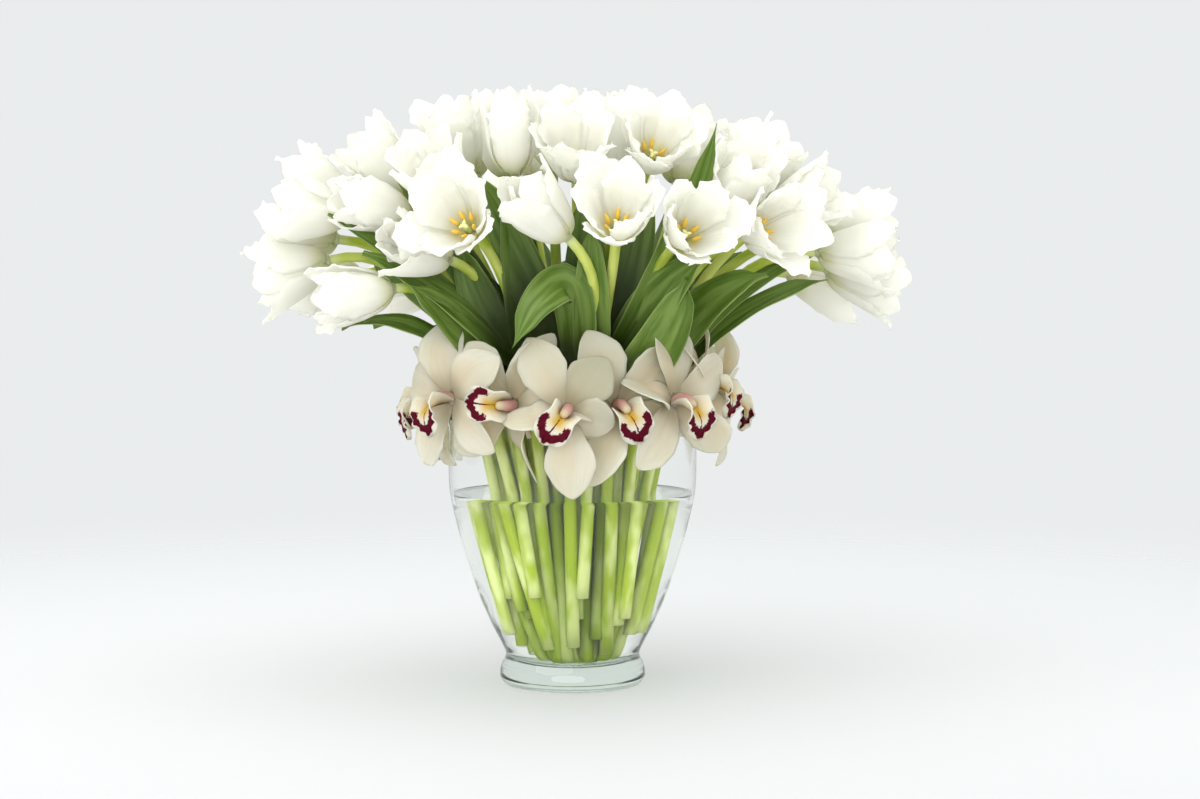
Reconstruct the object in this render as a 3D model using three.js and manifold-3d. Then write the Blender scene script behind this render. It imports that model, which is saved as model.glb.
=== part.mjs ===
// White tulips in a footed glass vase, with a collar of orchids round the rim.
// Millimetres, +Z up. The origin is the centre of the vase's foot, on the table,
// and the front is the -Y side.

import * as THREE from "three";
import { mergeVertices } from "three/addons/utils/BufferGeometryUtils.js";
import Module from "manifold-3d";

const wasm = await Module();
wasm.setup();

// Driving dimensions

const GAP = 0.3; // between pieces that touch
const WET_GAP = 0.36; // between the water and what stands in it or round it
const ORCHID_CLEARANCE = 0.5; // round an orchid, where a neighbour is cut by it
const BLOOM_CLEARANCE = 0.8; // and round a tulip
const SLIVER = 0.03; // edges that joining leaves shorter than this are merged

const VASE_SIDES = 20;
const VASE_WALL = 2;
const VASE_RIM = 189;
const RIM_ROUNDING = 1;
// Outside of the glass from the table to the rim: radius and height
const VASE_OUTLINE = [
  [48, 0], [51, 5], [50.2, 13], [47, 20.5], [49.8, 28], [56.5, 41], [65, 60],
  [76, 93], [82.8, 119], [86.2, 137], [87.2, 178], [88.4, 185],
];
const BOWL_FLOOR = 11;
const BOWL_BOTTOM = [[48.5, 33], [42.5, 20.5], [33, 13.5]]; // inside of the glass below the wall
const WATER_LEVEL = 134;

const STEM_SIDES = 4;
const STEM_RADIUS = 4.5; // in the vase, to the corners
const NECK_RADIUS = 3.8; // under the bloom
const RIM_PLANE = 165; // up to this height the stems run straight
const BUNCH_AT_RIM = 61; // radius of the bunch there, stem centres
const BUNCH_AT_FOOT = 36; // and at the foot of the bowl
const FOOT_PLANE = 20;
const BUNCH_TWIST = 16; // degrees between the two
const STEM_SPACING = 13.5; // at the rim plane
const HIGHEST_CUT = 70;
const ON_THE_FLOOR = 0.25; // share of the stems that reach down to the bowl's bottom
const STEM_TOUCH = 1.3; // between the centres of two stems that touch, in stem radii

const PETAL_LENGTH = 62;
const PETAL_WIDTH = 38;
const PETAL_WRAP = 0.98; // most that half a petal goes round the bloom, in radians
const PETAL_THICKNESS = 1.4;
const INNER_PETAL_SCALE = 0.95;
const RECEPTACLE_RADIUS = 5.2;
const RECEPTACLE_TAPER = 1.6;
const RECEPTACLE_HEIGHT = 5;
const PISTIL_HEIGHT = 17;
const BLOOM_CENTRE = 26; // height of a bloom's centre above its base
const LEAST_OPEN = -0.2;

const LEAF_THICKNESS = 1.6;
const OWN_LEAF_BASE = 192; // height where a stem's own leaf starts

const TEPAL_LENGTH = 54;
const TEPAL_WIDTH = 33;
const TEPAL_THICKNESS = 1.6;
const TEPAL_ROOT = 2.5; // from the flower's centre to where a tepal starts
const LIP_THICKNESS = 1.8;
const PEDICEL_RADIUS = 2;
const STALK_HOOK = [[87.4, 3.9], [77.6, -2.6], [71, -12]]; // over the rim: radius, height above it

// Blooms: centre x, y, z, compass angle and lean of the axis in degrees, openness from 0 to 1

const FRONT_BLOOMS = [
  [-74, -128, 321, -112, 72, 0.95],
  [-101, -90, 303, -140, 74, 0.5],
  [-20, -132, 326, -150, 50, 0.5],
  [29, -150, 324, -88, 58, 0.95],
  [76, -146, 315, -72, 72, 0.8],
  [129, -118, 316, -52, 80, 0.8],
  [107, -99, 343, -56, 52, 0.5],
  [-90, -85, 350, -125, 42, 0.6],
  [-40, -86, 376, -100, 10, 0.12],
  [2, -98, 366, -92, 48, 0.7],
  [29, -56, 375, -88, 8, 0.1],
  [55, -90, 371, -80, 64, 0.8],
  [130, -48, 357, -26, 48, 0.6],
  [152, -68, 334, -35, 64, 0.6],
  [-131, -72, 331, -160, 80, 0.4],
  [-127, -35, 360, -170, 48, 0.5],
  [-79, -38, 377, -140, 24, 0.4],
  [-174, 5, 346, 178, 62, 0.6],
  [-176, -42, 330, -172, 80, 0.6],
  [-190, 18, 313, 174, 86, 0.6],
  [-192, -20, 289, -176, 106, 0.6],
  [-143, -82, 273, -165, 98, 0.35],
  [196, 4, 323, 2, 80, 0.5],
  [192, -40, 301, -10, 92, 0.55],
  [202, 2, 284, -2, 106, 0.4],
  [179, 57, 282, 18, 102, 0.5],
  [-14, -30, 383, -100, 8, 0.6],
  [12, 18, 384, 90, 4, 0.5],
  [49, -16, 381, -60, 12, 0.6],
  [78, 26, 374, 60, 18, 0.7],
  [118, 18, 362, 15, 34, 0.5],
  [-51, 18, 379, 150, 14, 0.4],
];

// The far side, in rings: radius, height, lean, openness and the compass angles
const BACK_RINGS = [
  { radius: 88, height: 376, lean: 24, open: 0.5, angles: [72, 112, 150] },
  { radius: 146, height: 338, lean: 55, open: 0.6, angles: [42, 74, 104, 136, 163] },
  { radius: 186, height: 284, lean: 98, open: 0.55, angles: [62, 96, 130, 160] },
];

// Orchids: compass angle and radius of the flower's centre, its height, its turn in its own
// plane, and for its five tepals, top, two beside it and two below, their reach and how far
// each is twisted about its length, in radians
const FULL = [1, 1, 1, 1, 1];
const SOFT = [0.3, -0.3, 0.4, 0.2, -0.4];
const ORCHIDS = [
  { angle: -167, radius: 94, height: 198, turn: 0, reach: FULL, twist: [0.3, 0, 0.5, 0, 0.2] },
  { angle: -140, radius: 105, height: 203, turn: 10, reach: FULL, twist: [0.8, 0, 0.3, 0, 0.2] },
  {
    angle: -114, radius: 96, height: 200, turn: -96,
    reach: [0.7, 1, 1, 1, 1], twist: [0.3, 1.1, 1.1, 0, 0],
  },
  {
    angle: -92, radius: 110, height: 197, turn: -38,
    reach: [0.8, 1, 0.6, 0.8, 1.08], twist: [0.2, -0.2, 0.6, 1.1, 0],
  },
  {
    angle: -72, radius: 95, height: 199, turn: 22,
    reach: [1, 1, 1, 1.05, 0.9], twist: [0, 1.1, 0.35, 1, -0.3],
  },
  {
    angle: -50, radius: 105, height: 202, turn: 6,
    reach: [1.08, 0.8, 1, 1, 1], twist: [0, 1.1, 0.2, 0, 1],
  },
  { angle: -24, radius: 95, height: 213, turn: -12, reach: FULL, twist: [0.3, 0.6, 0, 0, 0.4] },
  { angle: 11, radius: 102, height: 200, turn: 12, reach: FULL, twist: SOFT },
  { angle: 47, radius: 94, height: 204, turn: -18, reach: FULL, twist: SOFT },
  { angle: 84, radius: 104, height: 199, turn: 20, reach: FULL, twist: SOFT },
  { angle: 120, radius: 95, height: 203, turn: -10, reach: FULL, twist: SOFT },
  { angle: 157, radius: 103, height: 200, turn: 15, reach: FULL, twist: SOFT },
];
const TEPAL_ANGLES = [90, 157, 23, 228, -48]; // in the flower's plane, from its right

// Leaves: base, tip, how far the middle is lifted, half-width, and which way the face looks
const LEAVES = [
  { base: [-8, -62, 205], tip: [-68, -98, 356], lift: 10, half: 15, face: [-0.2, -0.9, -0.3] },
  { base: [-18, -58, 205], tip: [-42, -96, 352], lift: 6, half: 14, face: [0.1, -1, -0.1] },
  { base: [8, -64, 200], tip: [12, -114, 320], lift: -8, half: 12.5, face: [0, -1, 0.2] },
  { base: [24, -60, 205], tip: [86, -124, 296], lift: 14, half: 17, face: [0.1, -0.9, 0.4] },
  { base: [38, -54, 200], tip: [74, -112, 284], lift: -10, half: 17, face: [0.2, -1, 0.1] },
  { base: [48, -46, 205], tip: [128, -96, 286], lift: 16, half: 15, face: [0.3, -0.8, 0.5] },
  { base: [56, -16, 205], tip: [178, -30, 306], lift: 18, half: 9, face: [0.1, -0.8, 0.6] },
  { base: [58, -22, 195], tip: [176, -24, 283], lift: 17, half: 9, face: [0.2, -0.5, 0.8] },
  { base: [-28, -56, 205], tip: [-162, -78, 326], lift: 14, half: 9, face: [-0.1, -0.8, 0.6] },
  { base: [-36, -52, 215], tip: [-138, -88, 300], lift: 10, half: 12, face: [-0.1, -0.7, 0.7] },
  { base: [-24, -60, 210], tip: [-76, -64, 308], lift: -6, half: 14, face: [-0.2, -1, 0.1] },
  { base: [-44, -44, 200], tip: [-108, -90, 279], lift: 8, half: 13, face: [-0.2, -0.8, 0.5] },
  { base: [-54, -28, 200], tip: [-154, -72, 250], lift: 26, half: 9, face: [-0.1, -0.6, 0.8] },
  { base: [20, -50, 210], tip: [93, -122, 383], lift: -12, half: 11, face: [0.3, -1, 0.1] },
  { base: [40, -30, 210], tip: [152, -12, 366], lift: 10, half: 12, face: [0.3, -0.8, 0.5] },
  { base: [-44, -26, 210], tip: [-157, -6, 362], lift: 10, half: 12, face: [-0.3, -0.7, 0.6] },
  { base: [-30, -40, 210], tip: [-120, -58, 352], lift: 8, half: 12, face: [-0.4, -0.8, 0.4] },
  { base: [4, -56, 200], tip: [8, -68, 346], lift: -10, half: 15, face: [0, -1, 0] },
  { base: [14, -54, 200], tip: [50, -72, 346], lift: -4, half: 15, face: [0, -1, 0.1] },
  { base: [44, -40, 200], tip: [92, -60, 345], lift: 4, half: 14, face: [0.2, -1, 0.2] },
];
// The leaf beside the middle that folds over and hangs its tip
const FOLDED_LEAF = {
  path: [[-2, -62, 205], [4, -84, 244], [-4, -104, 279], [-22, -116, 268], [-39, -112, 238]],
  half: 14, face: [-0.2, -1, 0.2],
};
// The far side's leaves, in fans: compass angles, reach, tip height
const BACK_FANS = [
  { angles: [25, 62, 98, 134, 170], reach: 148, height: 300, lift: 14, half: 18 },
  { angles: [44, 80, 116, 152], reach: 104, height: 330, lift: 4, half: 17 },
  { angles: [70, 176], reach: 140, height: 262, lift: 18, half: 14 },
];

const WHITE = { color: 0xf6f5ea, roughness: 0.6, metalness: 0 };
const ORCHID_WHITE = { color: 0xf1ebdf, roughness: 0.5, metalness: 0 };
const LEAF_GREEN = { color: 0x5f8f4a, roughness: 0.5, metalness: 0 };
const CLEAR = { color: 0xe6efec, roughness: 0.05, metalness: 0, transparent: true, opacity: 0.3 };

// Small helpers

const RADIANS = Math.PI / 180;
const UP = new THREE.Vector3(0, 0, 1);

const vector = (numbers) => new THREE.Vector3(...numbers);

// A fixed scatter: the same number from 0 to 1 each time for the same index
function scatter(index) {
  const wave = Math.sin(index * 12.9898 + 4.1) * 43758.5453;
  return wave - Math.floor(wave);
}

function direction(compass, lean) {
  const flat = Math.sin(lean * RADIANS);
  return new THREE.Vector3(
    flat * Math.cos(compass * RADIANS),
    flat * Math.sin(compass * RADIANS),
    Math.cos(lean * RADIANS),
  );
}

function across(axis, hint) {
  return hint.clone().addScaledVector(axis, -hint.dot(axis)).normalize();
}

// Closed solids from points and triangles

function solidOf(points, triangles) {
  let volume = 0;
  const cross = new THREE.Vector3();
  for (const [a, b, c] of triangles) {
    volume += cross.crossVectors(points[b], points[c]).dot(points[a]);
  }
  const facing = volume < 0 ? triangles.map(([a, b, c]) => [a, c, b]) : triangles;
  return new wasm.Manifold(new wasm.Mesh({
    numProp: 3,
    vertProperties: Float32Array.from(points.flatMap((p) => [p.x, p.y, p.z])),
    triVerts: Uint32Array.from(facing.flat()),
  }));
}

function solidOfGeometry(geometry) {
  geometry.deleteAttribute("normal");
  geometry.deleteAttribute("uv");
  const merged = mergeVertices(geometry, 1e-4);
  const position = merged.getAttribute("position");
  const points = [];
  for (let i = 0; i < position.count; i++) {
    points.push(new THREE.Vector3().fromBufferAttribute(position, i));
  }
  const triangles = [];
  for (let i = 0; i < merged.index.count; i += 3) {
    const corners = [0, 1, 2].map((k) => merged.index.getX(i + k));
    if (new Set(corners).size === 3) triangles.push(corners);
  }
  return solidOf(points, triangles);
}

// Triangles between two rows of points, which may hold different counts
function zip(a, countA, b, countB) {
  const triangles = [];
  let i = 0;
  let j = 0;
  while (i < countA - 1 || j < countB - 1) {
    const stepA = i < countA - 1 ? (i + 1) / (countA - 1) : Infinity;
    const stepB = j < countB - 1 ? (j + 1) / (countB - 1) : Infinity;
    if (stepA <= stepB) {
      triangles.push([a + i, a + i + 1, b + j]);
      i++;
    } else {
      triangles.push([a + i, b + j + 1, b + j]);
      j++;
    }
  }
  return triangles;
}

// A closed blade from rows of { point, normal }, base to tip, split alike on both faces. It is
// thickest along its middle and thin at its outline, unless pad gives it room all round.
function blade(rows, thickness, pad = 0) {
  const flat = rows.flat();
  const first = rows.map((row, i) => rows.slice(0, i).reduce((sum, r) => sum + r.length, 0));
  const last = rows.length - 1;
  const inner = rows.map((_, i) => i).slice(1, -1);
  const rim = [
    ...rows[0].map((_, j) => j),
    ...inner.map((i) => first[i] + rows[i].length - 1),
    ...rows[last].map((_, j) => first[last] + j).reverse(),
    ...inner.reverse().map((i) => first[i]),
  ];
  const reach = flat.map((_, k) => pad + (rim.includes(k) ? 0 : thickness / 2));
  const shifted = (k, side) => flat[k].point.clone().addScaledVector(flat[k].normal, side * reach[k]);
  const points = flat.map((_, k) => shifted(k, 1));
  const behind = flat.map((_, k) => (reach[k] > 0 ? points.push(shifted(k, -1)) - 1 : k));
  const triangles = [];
  for (let i = 0; i < last; i++) {
    for (const [a, b, c] of zip(first[i], rows[i].length, first[i + 1], rows[i + 1].length)) {
      triangles.push([a, b, c], [behind[a], behind[c], behind[b]]);
    }
  }
  if (pad > 0) {
    rim.forEach((a, k) => {
      const b = rim[(k + 1) % rim.length];
      triangles.push([b, a, behind[a]], [b, behind[a], behind[b]]);
    });
  }
  return solidOf(points, triangles);
}

// A rod with flat sides through points, with a radius at each
function rod(points, radii, sides) {
  const rings = [];
  let side = null;
  points.forEach((point, i) => {
    const before = points[Math.max(i - 1, 0)];
    const after = points[Math.min(i + 1, points.length - 1)];
    const along = after.clone().sub(before).normalize();
    const hint = side ?? (Math.abs(along.z) > 0.9 ? new THREE.Vector3(1, 0, 0) : UP);
    side = across(along, hint);
    const third = along.clone().cross(side);
    for (let k = 0; k < sides; k++) {
      const turn = 2 * Math.PI * k / sides;
      rings.push(point.clone()
        .addScaledVector(side, radii[i] * Math.cos(turn))
        .addScaledVector(third, radii[i] * Math.sin(turn)));
    }
  });
  const triangles = [];
  const end = (points.length - 1) * sides;
  for (let k = 0; k < sides; k++) {
    const next = (k + 1) % sides;
    for (let ring = 0; ring < end; ring += sides) {
      triangles.push([ring + k, ring + next, ring + sides + next]);
      triangles.push([ring + k, ring + sides + next, ring + sides + k]);
    }
    if (k > 0 && k < sides - 1) {
      triangles.push([0, k + 1, k], [end, end + k, end + k + 1]);
    }
  }
  return solidOf(rings, triangles);
}

const joined = (solids) => wasm.Manifold.union(solids);

// The largest body: hollows that joining sealed are filled, and loose scraps go
function wholeBody(solid) {
  const bodies = solid.simplify(SLIVER).decompose();
  return bodies.reduce((best, body) => (body.volume() > best.volume() ? body : best));
}

// Turned about the vase's axis from radius and height, as the vase and the water are
function turned(profile) {
  const outline = profile.map(([r, z]) => new THREE.Vector2(r, z));
  const lathe = new THREE.LatheGeometry(outline, VASE_SIDES);
  return solidOfGeometry(lathe.rotateX(Math.PI / 2));
}

// The inside of the glass between the bowl's bottom and a height, going up
function insideWall(height) {
  return VASE_OUTLINE
    .filter(([, z]) => z > BOWL_BOTTOM[0][1] && z < height)
    .map(([r, z]) => [r - VASE_WALL, z]);
}

function vaseSolid() {
  const rim = VASE_OUTLINE.at(-1)[0];
  return turned([
    [0, 0], ...VASE_OUTLINE,
    [rim - RIM_ROUNDING, VASE_RIM], [rim - VASE_WALL, VASE_RIM - RIM_ROUNDING / 2],
    ...insideWall(VASE_OUTLINE.at(-1)[1]).reverse(), ...BOWL_BOTTOM, [0, BOWL_FLOOR],
  ]);
}

// Water up to its level, a gap clear of the glass
function waterSolid() {
  const above = VASE_OUTLINE.findIndex(([, z]) => z > WATER_LEVEL);
  const [[r0, z0], [r1, z1]] = VASE_OUTLINE.slice(above - 1, above + 1);
  const shore = r0 + (r1 - r0) * (WATER_LEVEL - z0) / (z1 - z0) - VASE_WALL;
  const bottom = BOWL_BOTTOM.map(([r, z]) => [r, z + GAP]).reverse();
  const side = [...bottom, ...insideWall(WATER_LEVEL), [shore, WATER_LEVEL]];
  return turned([
    [0, BOWL_FLOOR + GAP], ...side.map(([r, z]) => [r - WET_GAP, z]), [0, WATER_LEVEL],
  ]);
}

// Tulip blooms

function bloomList() {
  const front = FRONT_BLOOMS.map(([x, y, z, compass, lean, open]) =>
    ({ centre: new THREE.Vector3(x, y, z), compass, lean, open }));
  const back = BACK_RINGS.flatMap(({ radius, height, lean, open, angles }) =>
    angles.map((compass, k) => ({
      centre: direction(compass, 90).multiplyScalar(radius)
        .setZ(height + 14 * (scatter(k + radius) - 0.5)),
      compass,
      lean: lean + 16 * (scatter(k + radius + 40) - 0.5),
      open: open + 0.5 * (scatter(k + radius + 80) - 0.5),
    })));
  return [...front, ...back].map((bloom, index) => {
    const axis = direction(bloom.compass, bloom.lean);
    const side = across(axis, Math.abs(axis.z) > 0.9 ? new THREE.Vector3(1, 0, 0) : UP);
    return {
      ...bloom,
      index,
      axis,
      side,
      third: axis.clone().cross(side),
      base: bloom.centre.clone().addScaledVector(axis, -BLOOM_CENTRE),
      spin: 120 * scatter(index + 7),
    };
  });
}

// Radius and height along a petal's midline, with the slope there
const MIDLINE_STEPS = 24;
const OUTER_START = { radius: 2.8, height: 1.5 };
const INNER_START = { radius: 1, height: 3 };
function midline({ open, length, inside }) {
  const points = [{ ...(inside ? INNER_START : OUTER_START), slope: 85 * RADIANS }];
  for (let i = 1; i <= MIDLINE_STEPS; i++) {
    const s = (i - 0.5) / MIDLINE_STEPS;
    const slope = RADIANS * (
      85 * (1 - s) ** 6 + 4 * (7 + 12 * open) * s * (1 - s) + (58 * open - 28) * s * s);
    const before = points[i - 1];
    points.push({
      radius: before.radius + length / MIDLINE_STEPS * Math.sin(slope),
      height: before.height + length / MIDLINE_STEPS * Math.cos(slope),
      slope,
    });
  }
  return points;
}

// A petal is widest at 0.52 of its length, with a full base and a pointed tip
function petalHalfWidth(s) {
  const away = Math.min(Math.abs(s - 0.52) / 0.48, 1);
  const body = s < 0.52 ? (1 - away ** 2.2) ** 0.62 : (1 - away ** 2) ** 0.8;
  return PETAL_WIDTH / 2 * Math.max(body, 0.34 * (1 - s) ** 0.5);
}

// The six petals of a bloom: three outside, three inside between them
function petalList(bloom) {
  return [0, 1, 2, 3, 4, 5].map((k) => {
    const inside = k > 2;
    const seed = bloom.index * 6 + k;
    return {
      inside,
      compass: bloom.spin + 120 * k + (inside ? 60 : 0) + 12 * (scatter(seed + 500) - 0.5),
      open: bloom.open + (inside ? -0.16 : 0.16) * scatter(seed + 900),
      length: PETAL_LENGTH * (inside ? INNER_PETAL_SCALE : 1) * (0.95 + 0.1 * scatter(seed)),
      phase: 6.28 * scatter(seed + 300),
    };
  });
}

// Away from the bloom's axis at an angle round it
function outwardOf(bloom, angle) {
  return bloom.side.clone().multiplyScalar(Math.cos(angle * RADIANS))
    .addScaledVector(bloom.third, Math.sin(angle * RADIANS));
}

// A point of a petal, s along it and t across it from -1 to 1, with the face's normal
function petalPoint(bloom, petal, line, s, t, pad) {
  const place = Math.min(s, 1) * MIDLINE_STEPS;
  const i = Math.min(Math.floor(place), MIDLINE_STEPS - 1);
  const part = place - i;
  const mix = (key) => line[i][key] * (1 - part) + line[i + 1][key] * part;
  const radius = mix("radius");
  const slope = mix("slope");
  const bend = Math.max(radius, 8);
  const angle = t * (Math.min(petalHalfWidth(s), PETAL_WRAP * bend) + 2 * pad) / bend;
  const ripple = 1.6 * t * t * Math.sin(9 * s + petal.phase + 2 * t) * s;
  const outward = outwardOf(bloom, petal.compass);
  const around = bloom.axis.clone().cross(outward);
  const face = outward.clone().multiplyScalar(Math.cos(slope))
    .addScaledVector(bloom.axis, -Math.sin(slope));
  const normal = face.clone().multiplyScalar(Math.cos(angle))
    .addScaledVector(around, Math.sin(angle));
  const point = bloom.base.clone()
    .addScaledVector(outward, radius)
    .addScaledVector(bloom.axis, mix("height"))
    .addScaledVector(around, bend * Math.sin(angle))
    .addScaledVector(face, bend * (Math.cos(angle) - 1))
    .addScaledVector(normal, ripple);
  return { point, normal };
}

// The cross-sections of a petal, from 0 at its base to 1 at its tip
const OUTER_ROWS = [0.34, 0.74];
const INNER_ROWS = [0.58];

// The petal's cross-sections, each as its left edge, outer face, right edge and inner face
function petalRings(bloom, petal, pad) {
  const line = midline(petal);
  return (petal.inside ? INNER_ROWS : OUTER_ROWS).map((s) => {
    const [left, middle, right] = [-1, 0, 1].map((t) => petalPoint(bloom, petal, line, s, t, pad));
    const face = (side) => middle.point.clone()
      .addScaledVector(middle.normal, side * (PETAL_THICKNESS / 2 + pad));
    return [left.point, face(1), right.point, face(-1)];
  });
}

function petalTip(bloom, petal, pad) {
  return petalPoint(bloom, { ...petal, length: petal.length + pad }, midline(petal), 1, 0, 0).point;
}

// Each petal closes, and then shortens, until it stays on its own side of the planes
// halfway to the neighbouring blooms
function settlePetals(blooms) {
  const room = (bloom) => 18 + 16 * Math.max(bloom.open, 0);
  for (const bloom of blooms) {
    const walls = blooms
      .filter((other) => other !== bloom && other.centre.distanceTo(bloom.centre) < 90)
      .map((other) => {
        const toOther = other.centre.clone().sub(bloom.centre);
        const share = room(bloom) / (room(bloom) + room(other));
        const away = toOther.clone().normalize();
        return { away, reach: away.dot(bloom.centre) + share * toOther.length() - 2 * GAP };
      });
    bloom.petals = petalList(bloom);
    for (const petal of bloom.petals) {
      const clear = () => [...petalRings(bloom, petal, 0).flat(), petalTip(bloom, petal, 0)]
        .every((point) => walls.every(({ away, reach }) => away.dot(point) <= reach));
      for (let tries = 0; tries < 14 && !clear(); tries++) {
        if (petal.open > LEAST_OPEN) petal.open -= 0.12;
        else petal.length *= 0.93;
      }
    }
    bloom.petals.slice(3).forEach((petal, k) => {
      const beside = [bloom.petals[k].open, bloom.petals[(k + 1) % 3].open];
      petal.open = Math.max(LEAST_OPEN, Math.min(petal.open, ...beside.map((open) => open - 0.06)));
    });
  }
}

// A bloom as one closed skin: a receptacle with the pistil on it, whose six sides run out into
// the petals, outer and inner in turn
function bloomSolid(bloom, pad) {
  const points = [];
  const triangles = [];
  const add = (point) => points.push(point) - 1;
  const ring = (turn, radius, height) => [0, 1, 2, 3, 4, 5].map((k) => add(bloom.base.clone()
    .addScaledVector(outwardOf(bloom, bloom.spin + 60 * k + turn), radius + pad)
    .addScaledVector(bloom.axis, height)));
  const below = ring(0, RECEPTACLE_RADIUS, -Math.min(pad, GAP / 2));
  const between = ring(30, RECEPTACLE_RADIUS, 0.6 * RECEPTACLE_HEIGHT);
  const above = ring(0, RECEPTACLE_RADIUS - RECEPTACLE_TAPER, RECEPTACLE_HEIGHT);
  const pistil = add(bloom.base.clone().addScaledVector(bloom.axis, PISTIL_HEIGHT + pad));
  for (let k = 0; k < 6; k++) {
    const next = (k + 1) % 6;
    triangles.push([pistil, above[k], between[k]], [pistil, between[k], above[next]]);
    triangles.push([below[k], below[next], between[k]]);
    if (k > 0 && k < 5) triangles.push([below[0], below[k + 1], below[k]]);
    const petal = bloom.petals[k % 2 ? 3 + (k - 1) / 2 : k / 2];
    const rings = petalRings(bloom, petal, pad).map((points4) => points4.map(add));
    let root = [between[(k + 5) % 6], below[k], between[k], above[k]];
    for (const rim of rings) {
      triangles.push(...lensSides(root, rim));
      root = rim;
    }
    const tip = add(petalTip(bloom, petal, pad));
    root.forEach((corner, i) => triangles.push([corner, root[(i + 1) % 4], tip]));
  }
  return solidOf(points, triangles);
}

// Between two cross-sections of left edge, face, right edge and face: split alike on both faces
function lensSides([left, outer, right, inner], [left2, outer2, right2, inner2]) {
  return [
    [left, outer, outer2], [left, outer2, left2],
    [outer, right, right2], [outer, right2, outer2],
    [right, inner, right2], [inner, inner2, right2],
    [inner, left, inner2], [left, left2, inner2],
  ];
}

// Height of the glass inside the bowl's bottom
function bowlFloor(radius) {
  const line = [...BOWL_BOTTOM, [0, BOWL_FLOOR]];
  const k = line.findIndex(([r]) => r <= radius);
  const [[r1, z1], [r0, z0]] = [line[Math.max(k - 1, 0)], line[k]];
  return r1 === r0 ? z0 : z0 + (z1 - z0) * (radius - r0) / (r1 - r0);
}

// Stems: from the cut end in the vase, straight to the rim plane, then bent to the bloom

function stemList(blooms) {
  const places = blooms.map((bloom) => {
    const { x, y, z } = bloom.base;
    const lean = Math.atan2(Math.hypot(x, y), z - RIM_PLANE);
    return { compass: Math.atan2(y, x), reach: Math.sqrt(1 - Math.cos(lean)) };
  });
  const widest = Math.max(...places.map(({ reach }) => reach));
  const spots = places.map(({ compass, reach }) => {
    const radius = BUNCH_AT_RIM * reach / widest;
    return new THREE.Vector2(radius * Math.cos(compass), radius * Math.sin(compass));
  });
  for (let round = 0; round < 120; round++) {
    for (const a of spots) {
      for (const b of spots) {
        const apart = a.distanceTo(b);
        if (a === b || apart >= STEM_SPACING) continue;
        const push = b.clone().sub(a).multiplyScalar((STEM_SPACING - apart) / (2 * apart));
        a.sub(push);
        b.add(push);
      }
      a.clampLength(0, BUNCH_AT_RIM);
    }
  }
  const stems = blooms.map((bloom, k) => {
    const low = spots[k].clone().multiplyScalar(BUNCH_AT_FOOT / BUNCH_AT_RIM)
      .rotateAround(new THREE.Vector2(), BUNCH_TWIST * RADIANS);
    const floor = bowlFloor(low.length() + STEM_RADIUS) + 2 * GAP;
    const lift = Math.max(0, (scatter(k + 60) - ON_THE_FLOOR) / (1 - ON_THE_FLOOR));
    const height = floor + (HIGHEST_CUT - floor) * lift;
    const part = (height - FOOT_PLANE) / (RIM_PLANE - FOOT_PLANE);
    const foot = low.lerp(spots[k], part);
    return {
      bloom,
      foot: new THREE.Vector3(foot.x, foot.y, height),
      top: new THREE.Vector3(spots[k].x, spots[k].y, RIM_PLANE),
    };
  });
  leanTogether(stems);
  return stems.map((stem) => ({ ...stem, rise: stem.top.clone().sub(stem.foot).normalize() }));
}

// Every stem but the lowest leans its cut end on a stem that reaches lower, as in a full vase
function leanTogether(stems) {
  const order = [...stems].sort((a, b) => a.foot.z - b.foot.z);
  order.slice(1).forEach((stem, k) => {
    const spots = order.slice(0, k + 1).map(({ foot, top }) =>
      foot.clone().lerp(top, (stem.foot.z - foot.z) / (top.z - foot.z)));
    const spot = spots.reduce((best, other) =>
      (other.distanceTo(stem.foot) < best.distanceTo(stem.foot) ? other : best));
    const away = stem.foot.clone().sub(spot).normalize();
    stem.foot.copy(spot).addScaledVector(away, STEM_TOUCH * STEM_RADIUS);
  });
}

function stemCurve({ top, rise, bloom }) {
  const end = bloom.base.clone().addScaledVector(bloom.axis, -GAP);
  const span = top.distanceTo(end);
  return new THREE.CubicBezierCurve3(
    top,
    top.clone().addScaledVector(rise, 0.42 * span),
    end.clone().addScaledVector(bloom.axis, -0.36 * span),
    end,
  );
}

const BEND_STEPS = 3;
function stemSolid(stem) {
  const bend = stemCurve(stem).getPoints(BEND_STEPS);
  const radii = bend.map((_, i) => STEM_RADIUS + (NECK_RADIUS - STEM_RADIUS) * i / BEND_STEPS);
  return rod([stem.foot, ...bend], [STEM_RADIUS, ...radii], STEM_SIDES);
}

// The wet length of a stem with clearance, as a plain hole for the water
function stemHole({ foot, top, rise }) {
  const start = foot.clone().addScaledVector(rise, -GAP);
  return rod([start, top], [STEM_RADIUS + WET_GAP, STEM_RADIUS + WET_GAP], STEM_SIDES);
}

// Leaves

const LEAF_ROWS = [[0, [-1, 1]], [0.32, [-1, 0, 1]], [0.72, [-1, 0, 1]], [1, [0]]];
const FOLDED_ROWS = [
  [0, [-1, 1]], ...[0.25, 0.42, 0.58, 0.8].map((s) => [s, [-1, 0, 1]]), [1, [0]],
];

function leafHalfWidth(s, half) {
  const swell = Math.sin(Math.PI * (0.06 + 0.94 * s)) ** 0.6;
  return half * Math.max(0.3, swell) * Math.min(1, 8 * (1 - s));
}

function leafPoint(leaf, s, t) {
  const middle = leaf.curve.getPoint(s);
  const along = leaf.curve.getTangent(s);
  const normal = across(along, leaf.face);
  const side = along.clone().cross(normal);
  const half = leafHalfWidth(s, leaf.half);
  const wave = 1.8 * t * t * Math.sin(8 * s + leaf.phase + 1.5 * t) * s;
  return {
    point: middle.addScaledVector(side, t * half)
      .addScaledVector(normal, 0.22 * half * t * t + wave),
    normal,
  };
}

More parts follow.
